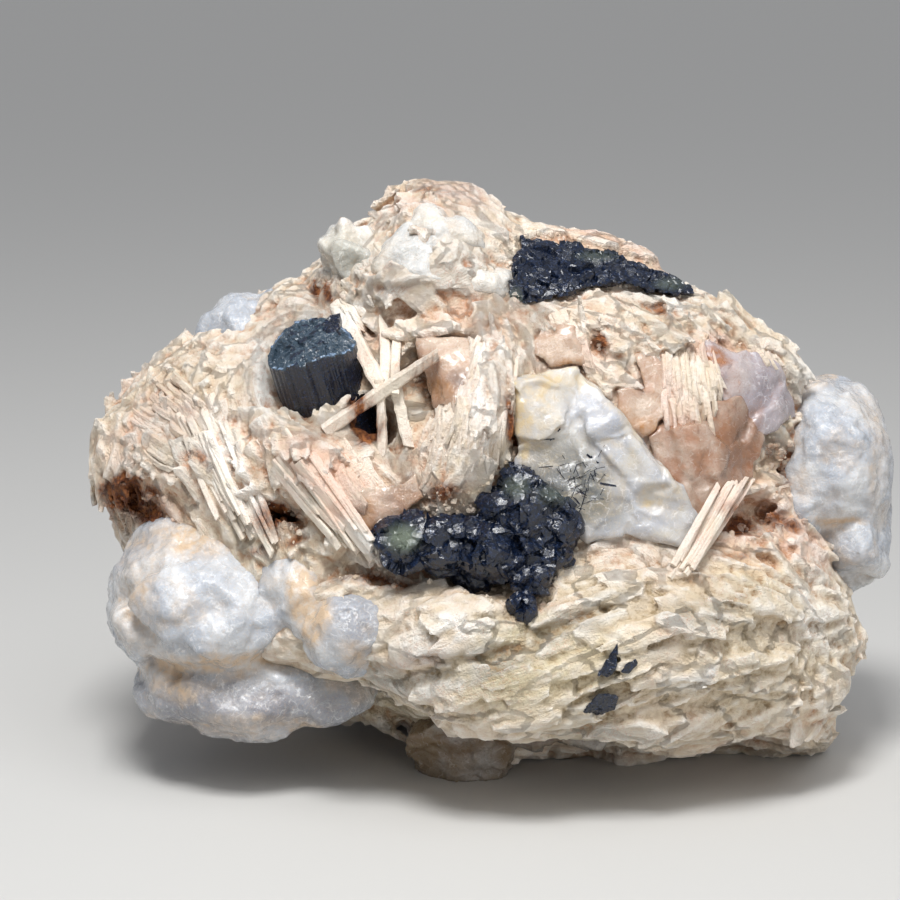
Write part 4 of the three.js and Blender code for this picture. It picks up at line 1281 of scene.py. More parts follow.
def buildMilkyQuartz(name, lumps, nodeName, voxel, breakSize, finish):
    bm = bmesh.new()
    for lump in lumps:
        addLump(bm, *lump)
    piece = fused(name, bm, voxel)
    facetted(piece, breakSize, tilt=0.34, wear=16, seed=101)
    facetted(piece, breakSize * 0.4, tilt=0.3, wear=4, seed=102)
    mesh, points, outward = surfaceOf(piece)
    small = flatBreaks(points, breakSize * 0.16, tilt=0.5, step=0.05, seed=106)
    shell = softNoise(points / 3, 103) * 0.16 + softNoise(points / 1.1, 104) * 0.06
    points = drawnIn(points + outward * (small * 0.5 + shell)[:, None])
    points[:, 2] = np.maximum(points[:, 2], 0)
    setPoints(mesh, points)
    quartzMasks(piece, outward, rounds=12, gain=0.9)
    finishPiece(piece, quartzFinish[finish], nodeName, smooth=True)


for name, values in milkyPieces.items():
    buildMilkyQuartz(name, *values)
print("milky quartz built")


# Blocks with sharp broken faces: the hull of a few places, then finer, with curved breaks.
frontBlocks = {
    "paleFace": ("glassyPale", [
        [
            (8.2, 9.2, 0.2), (12.4, 10.6, 0.4), (17.5, 11.2, 0.6), (22.5, 6, 2), (28, -1, 2.6),
            (33.6, -8.4, 2), (31.5, -12.6, 0.8), (25, -10, 1.4), (19, -12.4, 0.8), (9, -3.6, 0.2),
            (10, 8, -9), (22, 6, -9), (32, -10, -9), (12, -8, -9),
        ],
        [
            (8.4, 9, 1.2), (11.8, 10.4, 1.4), (16, 9, 1.6), (15, 4, 2.2), (11, 1.4, 1.8), (8.6, 2, 1),
            (10, 8, -6), (14, 3, -6), (9, 2, -6),
        ],
        [
            (19, 8.6, 1.4), (22.5, 5.6, 2.8), (27.4, -1, 3.4), (32.6, -8, 2.4), (26, -6.6, 2.4),
            (19, 3, 2.4), (20, 6, -6), (30, -8, -6), (22, -2, -6),
        ],
    ]),
    "amberBlock": ("amber", [
        [
            (27, 2, 0.2), (31, 4, 0.8), (36, 4.4, 1.4), (39.6, 7.6, 0.8), (42.4, 2, 0.4),
            (41, -4.4, 0.2), (36, -10, 0.6), (33, -9, 1), (27.6, -0.4, -0.2), (26, 0, -8),
            (28, 4, -8), (40, 6, -8), (32, -9, -8),
        ],
        [
            (30.4, 2.8, 1.8), (35.4, 3.4, 2.4), (38, 0, 2.2), (35.6, -5.4, 2), (32, -3, 2),
            (33, 0, -6), (36, 2, -6), (35, -4, -6),
        ],
    ]),
    "rosyPanes": ("rosy", [
        [
            (11.6, 13.4, 0), (12.4, 18, 0.2), (16.6, 17.4, 0.6), (18.6, 11.4, 0.8), (14.4, 10.8, 0.3),
            (13, 13, -5), (15, 16, -5), (16, 12, -5),
        ],
        [
            (22.6, 8, 0.2), (28.8, 8.4, 0.8), (30, 3.4, 0.9), (26.4, 1.6, 0.6), (22.8, 5, 0.3),
            (24, 6, -5), (28, 4, -5),
        ],
        [
            (25.4, 13.8, 0), (30, 13, 0.4), (30.6, 8.4, 0.6), (26, 8, 0.2), (27, 12, -5), (29, 10, -5),
        ],
        [
            (-3.6, 14.6, 0.4), (3.4, 15.6, 0), (4.2, 9.6, -0.6), (1, 5.4, -0.6), (-3, 6.6, -0.2),
            (-2, 12, -5), (2, 12, -5), (0, 8, -5),
        ],
        [
            (-12.6, -5.4, 0.2), (-4.6, -4.2, 0.2), (-3.4, -7.4, 0), (-9.6, -8.6, 0.4),
            (-11.4, -12, 0.2), (-13.8, -9.4, 0), (-10, -7, -5), (-6, -6, -5), (-11, -9, -5),
        ],
    ]),
    "lilacFace": ("lilac", [[
        (34.6, 14.6, 0.3), (40.6, 14.4, 0.8), (44.5, 12.4, 0.6), (46.6, 8, 0.8), (47.4, 5, 0.6),
        (43, 2, 0.6), (38, 4, 0.6), (36.6, 10.6, 0.8), (38, 12, -7), (46, 6, -7), (40, 3, -7),
    ]]),
}
footBlocks = [
    [
        (-5, -39.4, -6), (-1.5, -36, -8), (7.5, -37, -8), (9, -39.2, -7), (6.5, -43.6, -5),
        (2.5, -45.6, -5), (-2, -45.4, -3), (-4.6, -42, -4), (-4, -36, 8), (8, -36, 8), (6, -47.4, 4),
        (-2, -47.4, 4),
    ],
    [
        (5, -38, -8), (8, -40.4, -8), (13.5, -40.2, -9), (15, -38.6, -9), (18, -36, -6), (18, -36, 4),
        (6, -38, 4), (12, -41, 0),
    ],
    [
        (12, -38.6, -11), (16.5, -40.4, -11), (19.6, -41, -11), (21.8, -39.4, -11), (20, -36, -8),
        (12, -36, -6), (20, -38, 0), (12, -38, 0),
    ],
]


# Adds the hull of some places.
def addBlock(bm, points):
    part = bmesh.new()
    corners = [part.verts.new(point) for point in points]
    made = bmesh.ops.convex_hull(part, input=corners)
    loose = made["geom_interior"] + made["geom_unused"]
    spare = [g for g in loose if isinstance(g, bmesh.types.BMVert)]
    bmesh.ops.delete(part, geom=list(set(spare)), context="VERTS")
    joinInto(bm, part)


def fusedBlocks(name, blocks, voxel):
    bm = bmesh.new()
    for points in blocks:
        addBlock(bm, points)
    return fused(name, bm, voxel)


def buildBlocks(name, blocks, finish, nodeName, breakSize, relief, wear):
    piece = fusedBlocks(name, blocks, voxel=0.3)
    facetted(piece, breakSize, tilt=0.25, wear=wear, seed=118)
    mesh, points, outward = surfaceOf(piece)
    big = flatBreaks(points, breakSize, tilt=0.4, step=0.1, seed=111)
    small = flatBreaks(points, breakSize * 0.35, tilt=0.4, step=0.12, seed=112)
    fine = softNoise(points / 1.5, 113) * 0.08
    bend = np.stack([
        softNoise(points / 4.5, 114 + n) + 0.4 * softNoise(points / 1.6, 117 + n) for n in range(3)
    ], 1)
    points = points + bend * (1.0, 0.4, 1.0) + outward * (relief * (big + small) + fine)[:, None]
    points[:, 2] = np.maximum(points[:, 2], 0)
    setPoints(mesh, points)
    quartzMasks(piece, outward, rounds=8, gain=1.2)
    finishPiece(piece, quartzFinish[finish], nodeName, smooth=True)


for name, (finish, spots) in frontBlocks.items():
    blocks = [onFront(*np.array(one).T) for one in spots]
    buildBlocks(
        name, blocks, finish, "glassy_quartz_front", breakSize=6, relief=0.16, wear=8
    )
footPoints = [place(*np.array(spots).T) for spots in footBlocks]
buildBlocks(
    "quartzFoot", footPoints, "foot", "quartz_foot", breakSize=5, relief=0.6, wear=2
)
print("glassy quartz built")


# Where the line of sight through each place meets a piece, in millimetres.
def metBy(pieceName, places):
    piece = bpy.data.objects[pieceName]
    tree = BVHTree.FromObject(piece, bpy.context.evaluated_depsgraph_get())
    eye = (layout["middle"] - awayWay * layout["eyeDistance"]) * mm
    found = []
    for across, up in places:
        toward = Vector(place(across, up, 0) * mm - eye).normalized()
        hit = tree.ray_cast(Vector(eye), toward)[0]
        found.append(None if hit is None else np.array(hit) / mm)
    return found


# Crumbs of albite in the pits and along the edges of the quartz and the crystals.
crumbs = {
    "edgesOf": ("bar", "paleFace", "amberBlock", "lilacFace", "cluster"),
    "perMillimetre": 20 / 9,
    "spots": [
        ((-43.5, -7.6), (4.6, 2.2), 60), ((-23, -10), (3.4, 3), 30), ((0, -6.6), (3.4, 2), 40),
        ((45, -1), (3.4, 3.4), 50), ((40, -10.6), (5, 2), 30), ((9, -19.4), (5, 3), 40),
        ((-3, 10), (6, 4), 40), ((-11, -17), (7, 1.4), 30), ((20, 14.6), (3, 3), 16),
        ((-41, -9.4), (4, 1.4), 30),
    ],
    "size": (0.15, 0.6),
    "seed": 401,
}


def buildCrumbs():
    draw = np.random.RandomState(crumbs["seed"])
    places = []
    for name in crumbs["edgesOf"]:
        corners = covers[name]
        for (x1, y1), (x2, y2) in zip(corners, corners[1:] + corners[:1]):
            count = int(crumbs["perMillimetre"] * math.hypot(x2 - x1, y2 - y1))
            share = draw.uniform(0, 1, (count, 1))
            wander = draw.normal(0, 0.45, (2, count)).T
            places.append(np.array([x1, y1]) + share * (x2 - x1, y2 - y1) + wander)
    for at, size, count in crumbs["spots"]:
        places.append(at + draw.normal(0, 0.5, (count, 2)) * size)
    met = [hit for hit in metBy("albiteRock", np.concatenate(places)) if hit is not None]
    count = len(met)
    at = np.array(met) + awayWay * 0.1
    smallest, largest = crumbs["size"]
    size = draw.uniform(0, 1, (count, 1)) ** 2 * (largest - smallest) + smallest
    part = bmesh.new()
    bmesh.ops.create_icosphere(part, subdivisions=1, radius=1)
    piece, one = repeated("albiteCrumbs", part, count)
    mesh = piece.data
    local = pointsOf(mesh)
    which = np.repeat(np.arange(count), one)
    stretch = draw.uniform(0.6, 1.4, (count, 3))
    apart = local + 30.0 * which[:, None]
    broken = flatBreaks(apart, size=0.9, tilt=0.5, step=0.5, seed=402)
    points = at[which] + local * (1 + broken[:, None] * 0.6) * (size * stretch)[which]
    setPoints(mesh, points)
    setMask(mesh, "pit", np.zeros(len(points)))
    setVectors(mesh, "grain", points + 9.0 * which[:, None])
    stainAndPaintedLightMasks(mesh, points, 0.5 * scatter(which, 403), np.zeros(len(points)))
    finishPiece(piece, albite, "albite_matrix")


buildCrumbs()


# Dark needles in the clear part of the pale face, and how many more are scattered there.
needles = {
    "named": [
        ((13.6, 1.3), (15, 2.9), 0.22), ((14.2, 1.5), (12.3, 1.4), 0.16),
        ((18.6, -0.6), (20.2, -1.8), 0.3), ((19.2, -0.8), (19.8, -3.6), 0.22),
        ((20.4, -4.5), (22.6, -4.9), 0.3), ((10.6, -2.4), (14, -2.2), 0.12),
        ((17.6, -8.4), (18.6, -5.2), 0.12), ((14.6, -10.6), (16.6, -7.4), 0.14),
    ],
    "spots": [((15.5, -3.4), (6, 3.4)), ((19, -3.4), (2.6, 3)), ((17, -8), (3, 4))],
    "count": 60,
    "wide": 0.06,
    "thick": 0.16,
    "seed": 7,
}


def buildNeedles():
    draw = random.Random(needles["seed"])
    lines = list(needles["named"])
    for n in range(needles["count"]):
        at, size = needles["spots"][n % len(needles["spots"])]
        x, y = at[0] + draw.gauss(0, 0.4) * size[0], at[1] + draw.gauss(0, 0.4) * size[1]
        angle, long = draw.gauss(2.1, 0.9), draw.uniform(0.4, 1.9)
        shift = (math.cos(angle) * long / 2, math.sin(angle) * long / 2)
        wide = needles["wide"] * draw.uniform(0.6, 1.8)
        lines.append(((x - shift[0], y - shift[1]), (x + shift[0], y + shift[1]), wide))
    bm = bmesh.new()
    starts = metBy("paleFace", [line[0] for line in lines])
    ends = metBy("paleFace", [line[1] for line in lines])
    for start, end, (_, _, wide) in zip(starts, ends, lines):
        if start is not None and end is not None:
            addBlade(bm, start, end, wide, needles["thick"], roll=0, draw=draw, cuts=3)
    piece = newPiece("quartzNeedles", bm)
    darkMasks(piece, [])
    finishPiece(piece, tourmaline, "glassy_quartz_front")


# Tourmaline

prismValues = {
    "width": 11.4, "length": 17.0, "sides": 288, "rings": 60, "capRings": 26, "striation": 0.14,
}
prismTop = onFront(-19.4, 14.9, 4.6)
prismAxis = np.array([-0.225, -0.35, 0.91])
prismAxis /= np.linalg.norm(prismAxis)
# Slopes of its broken end: shift across and tilt.
prismBreaks = [(3.4, 24), (-3.8, -18)]
# The small crystal at its corner.
prismChip = [
    (-17.8, 17, 1.6), (-16.2, 18.4, 1.8), (-14.9, 18.7, 1.8), (-15.3, 17, 2.6), (-16.6, 16.2, 3),
    (-17, 12, 1), (-14.6, 13, 1), (-14.8, 16, -2), (-17.4, 15, -2),
]


def uprightTo(axis, origin):
    spin = Vector((0, 0, 1)).rotation_difference(Vector(axis)).to_matrix().to_4x4()
    return Matrix.Translation(Vector(origin)) @ spin


def buildPrism():
    v = prismValues
    bm = bmesh.new()
    bmesh.ops.create_circle(bm, cap_ends=False, segments=v["sides"], radius=1)
    edges = list(bm.edges)
    for _ in range(v["rings"]):
        grown = bmesh.ops.extrude_edge_only(bm, edges=edges)["geom"]
        rim = [g for g in grown if isinstance(g, bmesh.types.BMVert)]
        bmesh.ops.translate(bm, verts=rim, vec=(0, 0, 1 / v["rings"]))
        edges = [g for g in grown if isinstance(g, bmesh.types.BMEdge)]
    rings = v["capRings"]
    caps = [e for e in bm.edges if e.is_boundary]
    bottom = [e for e in caps if e.verts[0].co.z < 0.5]
    bmesh.ops.holes_fill(bm, edges=bottom, sides=0)
    ring = [e for e in caps if e.verts[0].co.z > 0.5]
    for n in range(rings):
        grown = bmesh.ops.extrude_edge_only(bm, edges=ring)["geom"]
        rim = [g for g in grown if isinstance(g, bmesh.types.BMVert)]
        share = (rings - 1 - n) / (rings - n) if n < rings - 1 else 0.02
        bmesh.ops.scale(bm, verts=rim, vec=(share, share, 1))
        ring = [g for g in grown if isinstance(g, bmesh.types.BMEdge)]
    bmesh.ops.holes_fill(bm, edges=ring, sides=0)
    bmesh.ops.recalc_face_normals(bm, faces=bm.faces)
    piece = newPiece("tourmalinePrism", bm)
    mesh = piece.data
    raw = pointsOf(mesh)
    bearing = np.arctan2(raw[:, 1], raw[:, 0])
    share = np.hypot(raw[:, 0], raw[:, 1])
    high = raw[:, 2]
    around = np.stack([np.cos(bearing) * 9, np.sin(bearing) * 9, high * 0.6], 1)
    fineAround = np.stack([np.cos(bearing) * 26, np.sin(bearing) * 26, high * 1.5], 1)
    unrolled = np.stack([bearing * 4, high * 0.8, high * 0], 1)
    steps = flatBreaks(unrolled, size=1, tilt=0, step=1, seed=121)
    ridges = softNoise(around, 122) * 1.1 + softNoise(fineAround, 123) * 0.8 + steps * 0.9
    radius = v["width"] / 2 * (1 + 0.055 * np.cos(3 * bearing + 0.6)) + ridges * v["striation"]
    x, y = np.cos(bearing) * radius * share, np.sin(bearing) * radius * share
    z = (high - 1) * v["length"]
    # Two slopes of the broken end, with a rough surface
    flat = np.stack([x, y, z * 0], 1)
    rough = flatBreaks(flat, size=1.3, tilt=0.6, step=0.35, seed=125)
    fine = flatBreaks(flat, size=0.5, tilt=0.6, step=0.15, seed=126)
    top = np.full(len(x), 9.0)
    for shift, tilt in prismBreaks:
        top = np.minimum(top, -0.6 - (x - shift) * math.tan(math.radians(tilt)))
    top = np.minimum(top, -0.1) + rough + fine
    isEnd = z > top - 0.05
    # Painted glints: a broken bright line along the rim of the broken end.
    rim = np.clip(1 - np.abs(share - 0.96) / 0.04, 0, 1) * isEnd
    rim = rim * (softNoise(np.stack([x, y, z], 1), 128) > 0)
    z = np.where(z > top, top, z)
    points = np.stack([x, y, z], 1)
    matrix = np.array(uprightTo(prismAxis, prismTop))
    points = points @ matrix[:3, :3].T + matrix[:3, 3]
    setPoints(mesh, points)
    setMask(mesh, "green", np.where(isEnd, 0.15, 0.0))
    setMask(mesh, "end", np.where(isEnd, 0.75, 0.04 + 0.12 * (scatter(wholeOf(bearing), 127) > 0.8)))
    setMask(mesh, "rim", rim * 0.8)
    finishPiece(piece, tourmaline, "tourmaline_prism")
    chip = fusedBlocks("tourmalinePrismChip", [onFront(*np.array(prismChip).T)], voxel=0.2)
    roughen(chip, size=0.7, relief=0.3)
    finishPiece(chip, tourmaline, "tourmaline_prism")


# Breaks a dark crystal in flat facets, and keeps only a share of its faces so that they stay sharp.
def roughen(piece, size, relief, share=0.3):
    mesh, points, outward = surfaceOf(piece)
    big = flatBreaks(points, size * 2.2, tilt=1.0, step=0.25, seed=131)
    small = flatBreaks(points, size, tilt=1.1, step=0.25, seed=132)
    setPoints(mesh, points + outward * (relief * (big + small * 0.8))[:, None])
    thinned(piece, share)


buildPrism()

# Corners of each block: where on the front, and how far out.
barBlocks = [
    [
        (9.8, 29, 0.8), (8.6, 24.6, 1.8), (7.9, 20.6, 1), (10.2, 19.8, 1), (13.4, 21.8, 1.6),
        (16.4, 21.4, 1.4), (19.6, 22.4, 1.6), (18, 27.8, 1.6), (14, 28.6, 1.2), (10, 24, -5),
        (18, 23, -5),
    ],
    [
        (15, 28.2, 1), (22.2, 27.3, 1), (25.4, 25.4, 1.6), (27, 23.4, 1.6), (22, 22.6, 1.6),
        (16, 21.6, 1.4), (17, 24, -5), (26, 23, -5),
    ],
    [
        (23, 26.4, 1), (30, 24, 1.2), (32.6, 22.6, 1), (33.4, 21.2, 1), (30, 21.2, 1.2),
        (24, 22.6, 1.4), (24, 23, -5), (31, 21, -4),
    ],
]
# Where light passes and the crystals look green: where, half sizes and strength.
barGreens = [((8.8, 20.6), (1.4, 1.6), 0.5), ((20, 26.4), (4, 1), 0.25), ((30, 22.6), (3, 1.2), 0.3)]
clusterGreens = [((-6.4, -12), (3, 2.6), 0.8), ((9, -5), (2.6, 2), 0.35), ((14, -6), (3, 2), 0.3)]
# Dark crystals that have grown together: middle, radii, turn and seed.
clusterLumps = [
    (onFront(-5.6, -12.7, 1), (4.6, 4, 3.9), -8, 61),
    (onFront(-0.4, -13, 1), (5.1, 4, 3.9), -8, 62),
    (onFront(5.4, -13.6, 1), (5.5, 4.4, 3.9), -12, 63),
    (onFront(8.2, -8.8, 0.4), (4.9, 4, 3.7), -25, 64),
    (onFront(12.6, -10.4, 0.4), (5.1, 4.2, 4.9), -20, 65),
    (onFront(9.6, -4.6, 0.4), (2.9, 2.7, 2.3), 0, 66),
    (onFront(12.6, -14.6, 0.6), (4.5, 3, 2.2), 16, 67),
    (onFront(2.4, -12.6, 0.8), (7, 4, 3.6), -8, 68),
    (onFront(10.4, -9.4, 0.8), (5.6, 4, 5), -20, 69),
    (onFront(9.6, -13.4, 0.6), (5, 3.6, 3.6), 0, 70),
    (onFront(2.8, -17.6, 1.2), (2.5, 2.4, 2), -6, 71),
    (onFront(11.2, -17.9, 1), (2.7, 2.6, 2.4), 14, 72),
    (onFront(9.6, -21.2, 0.8), (2, 2, 1.9), 20, 73),
]
chipBlocks = {
    "tourmaline_chip_upper": [
        (22.9, -26, 0.6), (20.1, -30.6, 0.5), (21.5, -30.9, 0.6), (22.7, -29.8, 0.8), (22.4, -27, -3),
        (20.8, -30, -3), (22, -30, -3),
    ],
    "tourmaline_chip_side": [
        (25.3, -28.4, 0.5), (25.6, -29.2, 0.6), (24.4, -30.4, 0.6), (23.1, -30.3, 0.5),
        (23.9, -29.2, 0.6), (24.6, -29.2, -2.6), (24.2, -30, -2.6),
    ],
    "tourmaline_chip_lower": [
        (17.9, -35.8, 0.5), (20.2, -33, 0.8), (21.8, -33.9, 0.9), (23, -33.4, 0.5), (22.4, -35.2, 0.7),
        (20.2, -36.2, 0.5), (19.4, -35, -3), (22, -34.6, -3),
    ],
}


def buildDarkBlocks(name, blocks, nodeName, voxel, size, relief, greens=()):
    piece = fusedBlocks(name, blocks, voxel)
    roughen(piece, size, relief)
    darkMasks(piece, greens)
    finishPiece(piece, tourmaline, nodeName)


def darkMasks(piece, greens):
    across, up, _ = seenAt(pointsOf(piece.data))
    green = np.zeros(len(across))
    for at, size, strength in greens:
        green += strength * oval(across, up, at, size)
    setMask(piece.data, "green", np.clip(green, 0, 1))
    setMask(piece.data, "end", np.zeros(len(across)))


def buildCluster():
    bm = bmesh.new()
    for at, radii, turn, seed in clusterLumps:
        addLump(bm, at, radii, turn, seed, fineness=3)
    piece = fused("tourmalineCluster", bm, voxel=0.25)
    roughen(piece, size=1.5, relief=0.65, share=0.25)
    darkMasks(piece, clusterGreens)
    finishPiece(piece, tourmaline, "tourmaline_cluster")


barPoints = [onFront(*np.array(spots).T) for spots in barBlocks]
buildDarkBlocks(
    "tourmalineBar", barPoints, "tourmaline_bar",
    voxel=0.22, size=1.2, relief=0.6, greens=barGreens,
)
buildCluster()
for chipName, spots in chipBlocks.items():
    chipPoints = onFront(*(np.array(spots) + (0, 0, 1)).T)
    buildDarkBlocks(
        camelName(chipName), [chipPoints], chipName, voxel=0.14, size=0.5, relief=0.3
    )
print("tourmaline built")


# Free blades with chipped ends and a slight bend: start, end, width, thickness and roll.
latticeBlades = [
    ((-17, 2.6, 0.6), (-1.6, 13, 6), 1.6, 1.3, 20),
    ((-15.5, 20, -1), (-9.4, 8.6, 2), 2, 1, 15),
    ((-9.2, 18.6, -1.5), (-9, 8, 2), 1.3, 0.9, -10),
    ((-6.9, 17.5, -1.5), (-7.4, 7.5, 2), 1.2, 0.9, 10),
    ((-9.6, 9.6, 2), (-9.2, -1, -1), 1.2, 0.9, 20),
    ((-7.6, 9.8, 2), (-5.6, 0.5, -1), 1.5, 0.9, 0),
]
sprays = {
    "blade_spray_left": {
        "roots": ((-38, 5, 0.6), (-30, 6, 1)), "tips": ((-29.5, -12, 1.4), (-22.5, -14, 2.6)),
        "count": 36, "wide": 1.1, "thick": 0.7, "rolls": (-50, 55), "bearing": -62, "seed": 81,
    },
    "blade_spray_middle": {
        "roots": ((-26, 0, 0.8), (-21, 3, 1)), "tips": ((-15, -12.5, 1.8), (-8.8, -15.2, 2.8)),
        "count": 26, "wide": 1.2, "thick": 0.7, "rolls": (-45, 55), "bearing": -48, "seed": 82,
    },
    "blade_spray_right": {
        "roots": ((29.6, -16.8, 1.4), (33.6, -15.6, 1.6)),
        "tips": ((36.5, -5, 2.6), (41.2, -3.6, 2.2)),
        "count": 24, "wide": 0.8, "thick": 0.5, "rolls": (0, 50), "bearing": 58, "seed": 88,
    },
}
# Fans of blades that lie in the rock itself.
rockFans = [
    {
        "roots": ((-4.4, -7.6, -0.6), (7.6, -3.4, -0.2)), "tips": ((-0.8, 7.4, 0), (8.6, 6.4, 0.2)),
        "count": 100, "wide": 0.9, "thick": 0.9, "rolls": (-35, 40), "seed": 301,
    },
    {
        "roots": ((-0.8, 4, -0.4), (8.4, 3, 0)), "tips": ((3.6, 17, 0), (9.6, 14.4, 0)),
        "count": 84, "wide": 0.9, "thick": 0.9, "rolls": (-35, 40), "seed": 302,
    },
    {
        "roots": ((28.4, 14.4, -0.4), (35.4, 15.4, 0)), "tips": ((29.4, 1.6, 0.8), (37.6, 3.4, 1.4)),
        "count": 84, "wide": 0.8, "thick": 0.9, "rolls": (-40, 40), "seed": 303,
    },
    {
        "roots": ((39.4, 16.8, -0.8), (43, 16.6, -0.8)), "tips": ((45.4, 7, -0.4), (48.4, 8.6, -0.8)),
        "count": 26, "wide": 1.3, "thick": 1.0, "rolls": (-30, 30), "seed": 304,
    },
    {
        "roots": ((-47, 3.4, -0.4), (-38.4, 11, -0.2)), "tips": ((-38, -2.4, 0), (-30.4, 4.4, 0)),
        "count": 50, "wide": 1.1, "thick": 0.9, "rolls": (-20, 40), "seed": 305,
    },
    {
        "roots": ((-26, 2.4, -0.4), (-14.6, 2.6, 0)), "tips": ((-18.6, -6, 0.2), (-7, -9, 0.2)),
        "count": 44, "wide": 1.5, "thick": 0.9, "rolls": (-15, 15), "seed": 306,
    },
    {
        "roots": ((11.6, 19.4, -0.6), (17.6, 20.4, -0.4)),
        "tips": ((15.6, 11.6, 0), (19.6, 12.4, 0.4)),
        "count": 21, "wide": 1.3, "thick": 1.0, "rolls": (-25, 25), "seed": 307,
    },
    {
        "roots": ((25, 19.6, -0.4), (23, 17.4, -0.4)), "tips": ((21.4, 11.4, 0.2), (20.8, 12.4, 0.4)),
        "count": 9, "wide": 1.5, "thick": 1.0, "rolls": (-20, 20), "seed": 308,
    },
    {
        "roots": ((-15.4, -9.6, 0), (-13.4, -10.4, 0)), "tips": ((-9.6, -15, 0.8), (-8.2, -15.4, 1)),
        "count": 7, "wide": 1.4, "thick": 0.8, "rolls": (-20, 20), "seed": 309,
    },
    {
        "roots": ((-17.2, 22.4, -0.8), (-6.4, 32.4, -0.8)),
        "tips": ((-13, 16.4, -0.2), (-1.4, 26.6, -0.2)),
        "count": 60, "wide": 1.1, "thick": 0.9, "rolls": (-25, 25), "seed": 310,
    },
]


# A bar from start to end, rolled about its length, a little bent and twisted; dive sinks its ends.
def addBlade(bm, start, end, wide, thick, roll, draw, cuts, dive=0.0):
    along = end - start
    length = np.linalg.norm(along)
    forward = along / length
    flatSide = np.cross(-awayWay, forward)
    flatSide /= np.linalg.norm(flatSide)
    face = np.cross(forward, flatSide)
    angle = math.radians(roll)
    side = flatSide * math.cos(angle) + face * math.sin(angle)
    face = np.cross(forward, side)
    part = bevelledBar(cuts)
    bend = draw.uniform(-0.02, 0.02) * length
    twist = draw.uniform(-0.12, 0.12)
    slant = draw.uniform(-0.35, 0.35) * wide / length
    marks = [draw.uniform(0.88, 1.08) for _ in range(cuts + 2)]
    for vertex in part.verts:
        x, y, z = vertex.co
        x += 0.5
        taper = marks[round(x * (cuts + 1))] * (1 - 0.8 * max(0, x - 0.8))
        x += slant * y * 2 * (x > 0.5)
        sway = y * wide * taper + bend * math.sin(math.pi * x)
        rise = z * thick * taper + y * wide * twist * x - dive * abs(2 * x - 1) ** 3
        vertex.co = start + forward * x * length + side * sway + face * rise
    joinInto(bm, part)


# Stains of a blade, and the lie of its grain: along it, over it and away from the eye.
def bladeMasks(piece, bearing):
    mesh = piece.data
    points = pointsOf(mesh)
    c, s = math.cos(math.radians(bearing)), math.sin(math.radians(bearing))
    along, over = c * rightWay + s * upWay, c * upWay - s * rightWay
    setVectors(mesh, "grain", np.stack([points @ along, points @ over, points @ awayWay], 1))
    level = 0.5 + 0.5 * softNoise(points / 2.5, 141)
    setMask(mesh, "pit", np.zeros(len(points)))
    stainAndPaintedLightMasks(mesh, points, level * 0.6, np.zeros(len(points)))


# The blades of a fan, from roots to tips; those that lie in the rock start anywhere on the way.
def fanOf(values, isInRock):
    draw = random.Random(values["seed"])
    roots, tips = (np.array(values[key], float) for key in ("roots", "tips"))
    for n in range(values["count"]):
        share = (n + 0.2 + 0.6 * draw.random()) / values["count"]
        root = roots[0] + (roots[1] - roots[0]) * share
        tip = tips[0] + (tips[1] - tips[0]) * share + (draw.gauss(0, 0.6), draw.gauss(0, 0.6), 0)
        if isInRock:
            lift, begin = draw.uniform(-0.6, 0.5), draw.uniform(0, 0.62)
            reach = (begin, begin + draw.uniform(0.28, 0.55))
        else:
            lift = draw.uniform(-1.0, 0.8)
            reach = (draw.uniform(-0.1, 0.25), draw.uniform(0.7, 1.02))
        start = root + (tip - root) * reach[0]
        end = root + (tip - root) * min(1.04, reach[1])
        start[2] += lift
        end[2] += lift
        wide = values["wide"] * draw.uniform(0.5, 1.2)
        thick = values["thick"] * draw.uniform(0.6, 1.3)
        yield start, end, wide, thick, draw.uniform(*values["rolls"])


def bladesPiece(name, blades, bearing, seed, cuts, dive):
    draw = random.Random(seed)
    bm = bmesh.new()
    for start, end, wide, thick, roll in blades:
        addBlade(bm, onFront(*start), onFront(*end), wide, thick, roll, draw, cuts, dive)
    bmesh.ops.recalc_face_normals(bm, faces=bm.faces)
    piece = newPiece(name, bm)
    bladeMasks(piece, bearing)
    return piece


piece = bladesPiece("bladeLattice", latticeBlades, bearing=80, seed=5, cuts=10, dive=0)
finishPiece(piece, bladeAlbite, "blade_lattice")
for name, values in sprays.items():
    blades = list(fanOf(values, isInRock=False))
    piece = bladesPiece(
        camelName(name), blades, values["bearing"], values["seed"], cuts=10, dive=0
    )
    finishPiece(piece, bladeAlbite, name)
for number, values in enumerate(rockFans):
    across, up, _ = np.array(values["tips"]).mean(0) - np.array(values["roots"]).mean(0)
    bearing = math.degrees(math.atan2(up, across))
    blades = list(fanOf(values, isInRock=True))
    piece = bladesPiece(
        f"rockFan{number}", blades, bearing, values["seed"], cuts=4, dive=0.9
    )
    finishPiece(piece, albite, "albite_matrix")
buildNeedles()
print("blades built")


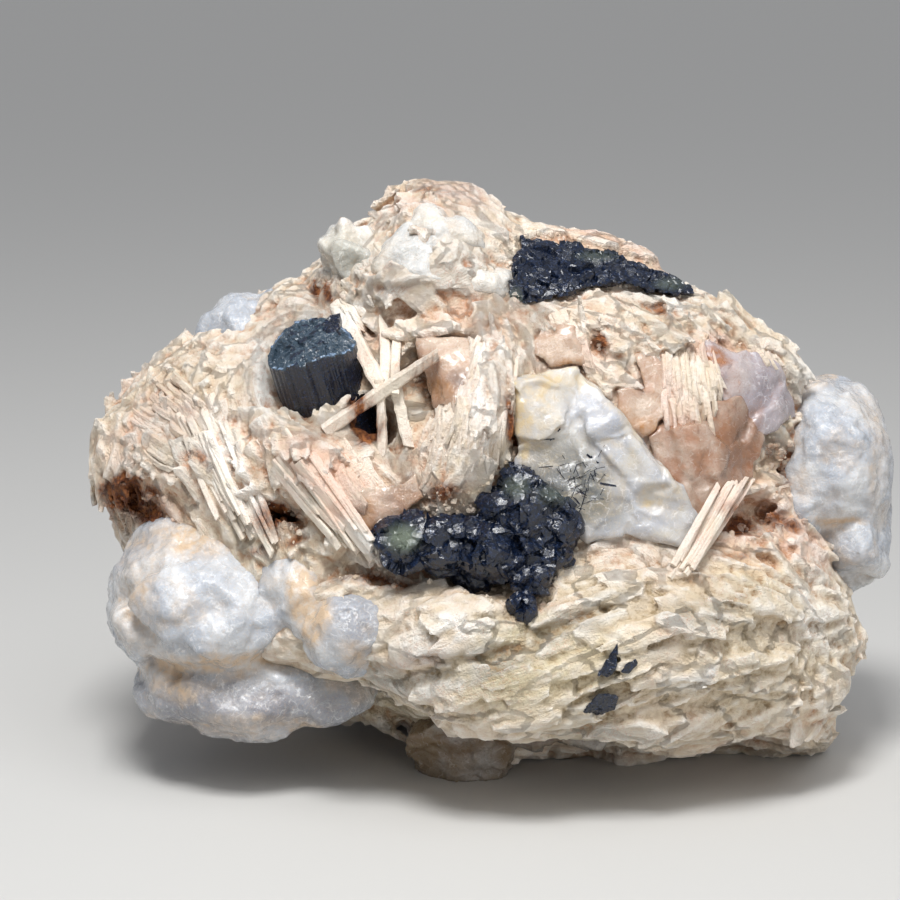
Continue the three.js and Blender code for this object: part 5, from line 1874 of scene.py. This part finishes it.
# The floor, the light and the lens. A lamp has its place, size and power.
studio = {
    "floor": srgb(198, 197, 194),
    "world": (0.9, 0.93, 1.0, 1.0),
    "worldStrength": 0.3,
    "skyStrength": 0.85,
    "skySpread": math.radians(50),
    "skyTurn": (math.radians(22), math.radians(12), 0),
    "target": Vector((0, 0, 0.04)),
    "lamps": {
        "keyLight": ((-0.04, -0.2, 0.43), 0.13, 1.9),
        "fillLight": ((0.35, -0.45, 0.18), 0.4, 0.45),
    },
    "lens": 100,
}


def linked(name, data, at=(0, 0, 0), turn=(0, 0, 0)):
    made = bpy.data.objects.new(name, data)
    made.location = at
    made.rotation_euler = turn
    bpy.context.scene.collection.objects.link(made)
    return made


def buildStudio():
    bm = bmesh.new()
    bmesh.ops.create_grid(bm, x_segments=1, y_segments=1, size=6)
    floor = newPiece("studioFloor", bm)
    material, _, shader = newMaterial("paleFloor")
    setPlain(shader, {"Base Color": studio["floor"], "Roughness": 0.8})
    floor.data.materials.append(material)
    world = bpy.data.worlds.new("studioWorld")
    world.use_nodes = True
    setPlain(world.node_tree.nodes["Background"], {
        "Color": studio["world"], "Strength": studio["worldStrength"],
    })
    bpy.context.scene.world = world
    bpy.context.scene.view_settings.view_transform = "Standard"
    sky = bpy.data.lights.new("skyLight", "SUN")
    sky.energy = studio["skyStrength"]
    sky.angle = studio["skySpread"]
    linked("skyLight", sky, turn=studio["skyTurn"])
    for name, (spot, size, power) in studio["lamps"].items():
        lamp = bpy.data.lights.new(name, "AREA")
        lamp.size = size
        lamp.energy = power
        linked(name, lamp, spot, (studio["target"] - Vector(spot)).to_track_quat("-Z", "Y").to_euler())


def buildCamera():
    lens = bpy.data.cameras.new("frontCamera")
    lens.lens = studio["lens"]
    lens.sensor_width = 36
    lens.clip_start = 0.01
    lens.clip_end = 10
    eye = (layout["middle"] - awayWay * layout["eyeDistance"]) * mm
    turn = Vector(awayWay).to_track_quat("-Z", "Y").to_euler()
    bpy.context.scene.camera = linked("frontCamera", lens, eye, turn)


buildStudio()
buildCamera()
print("studio ready")
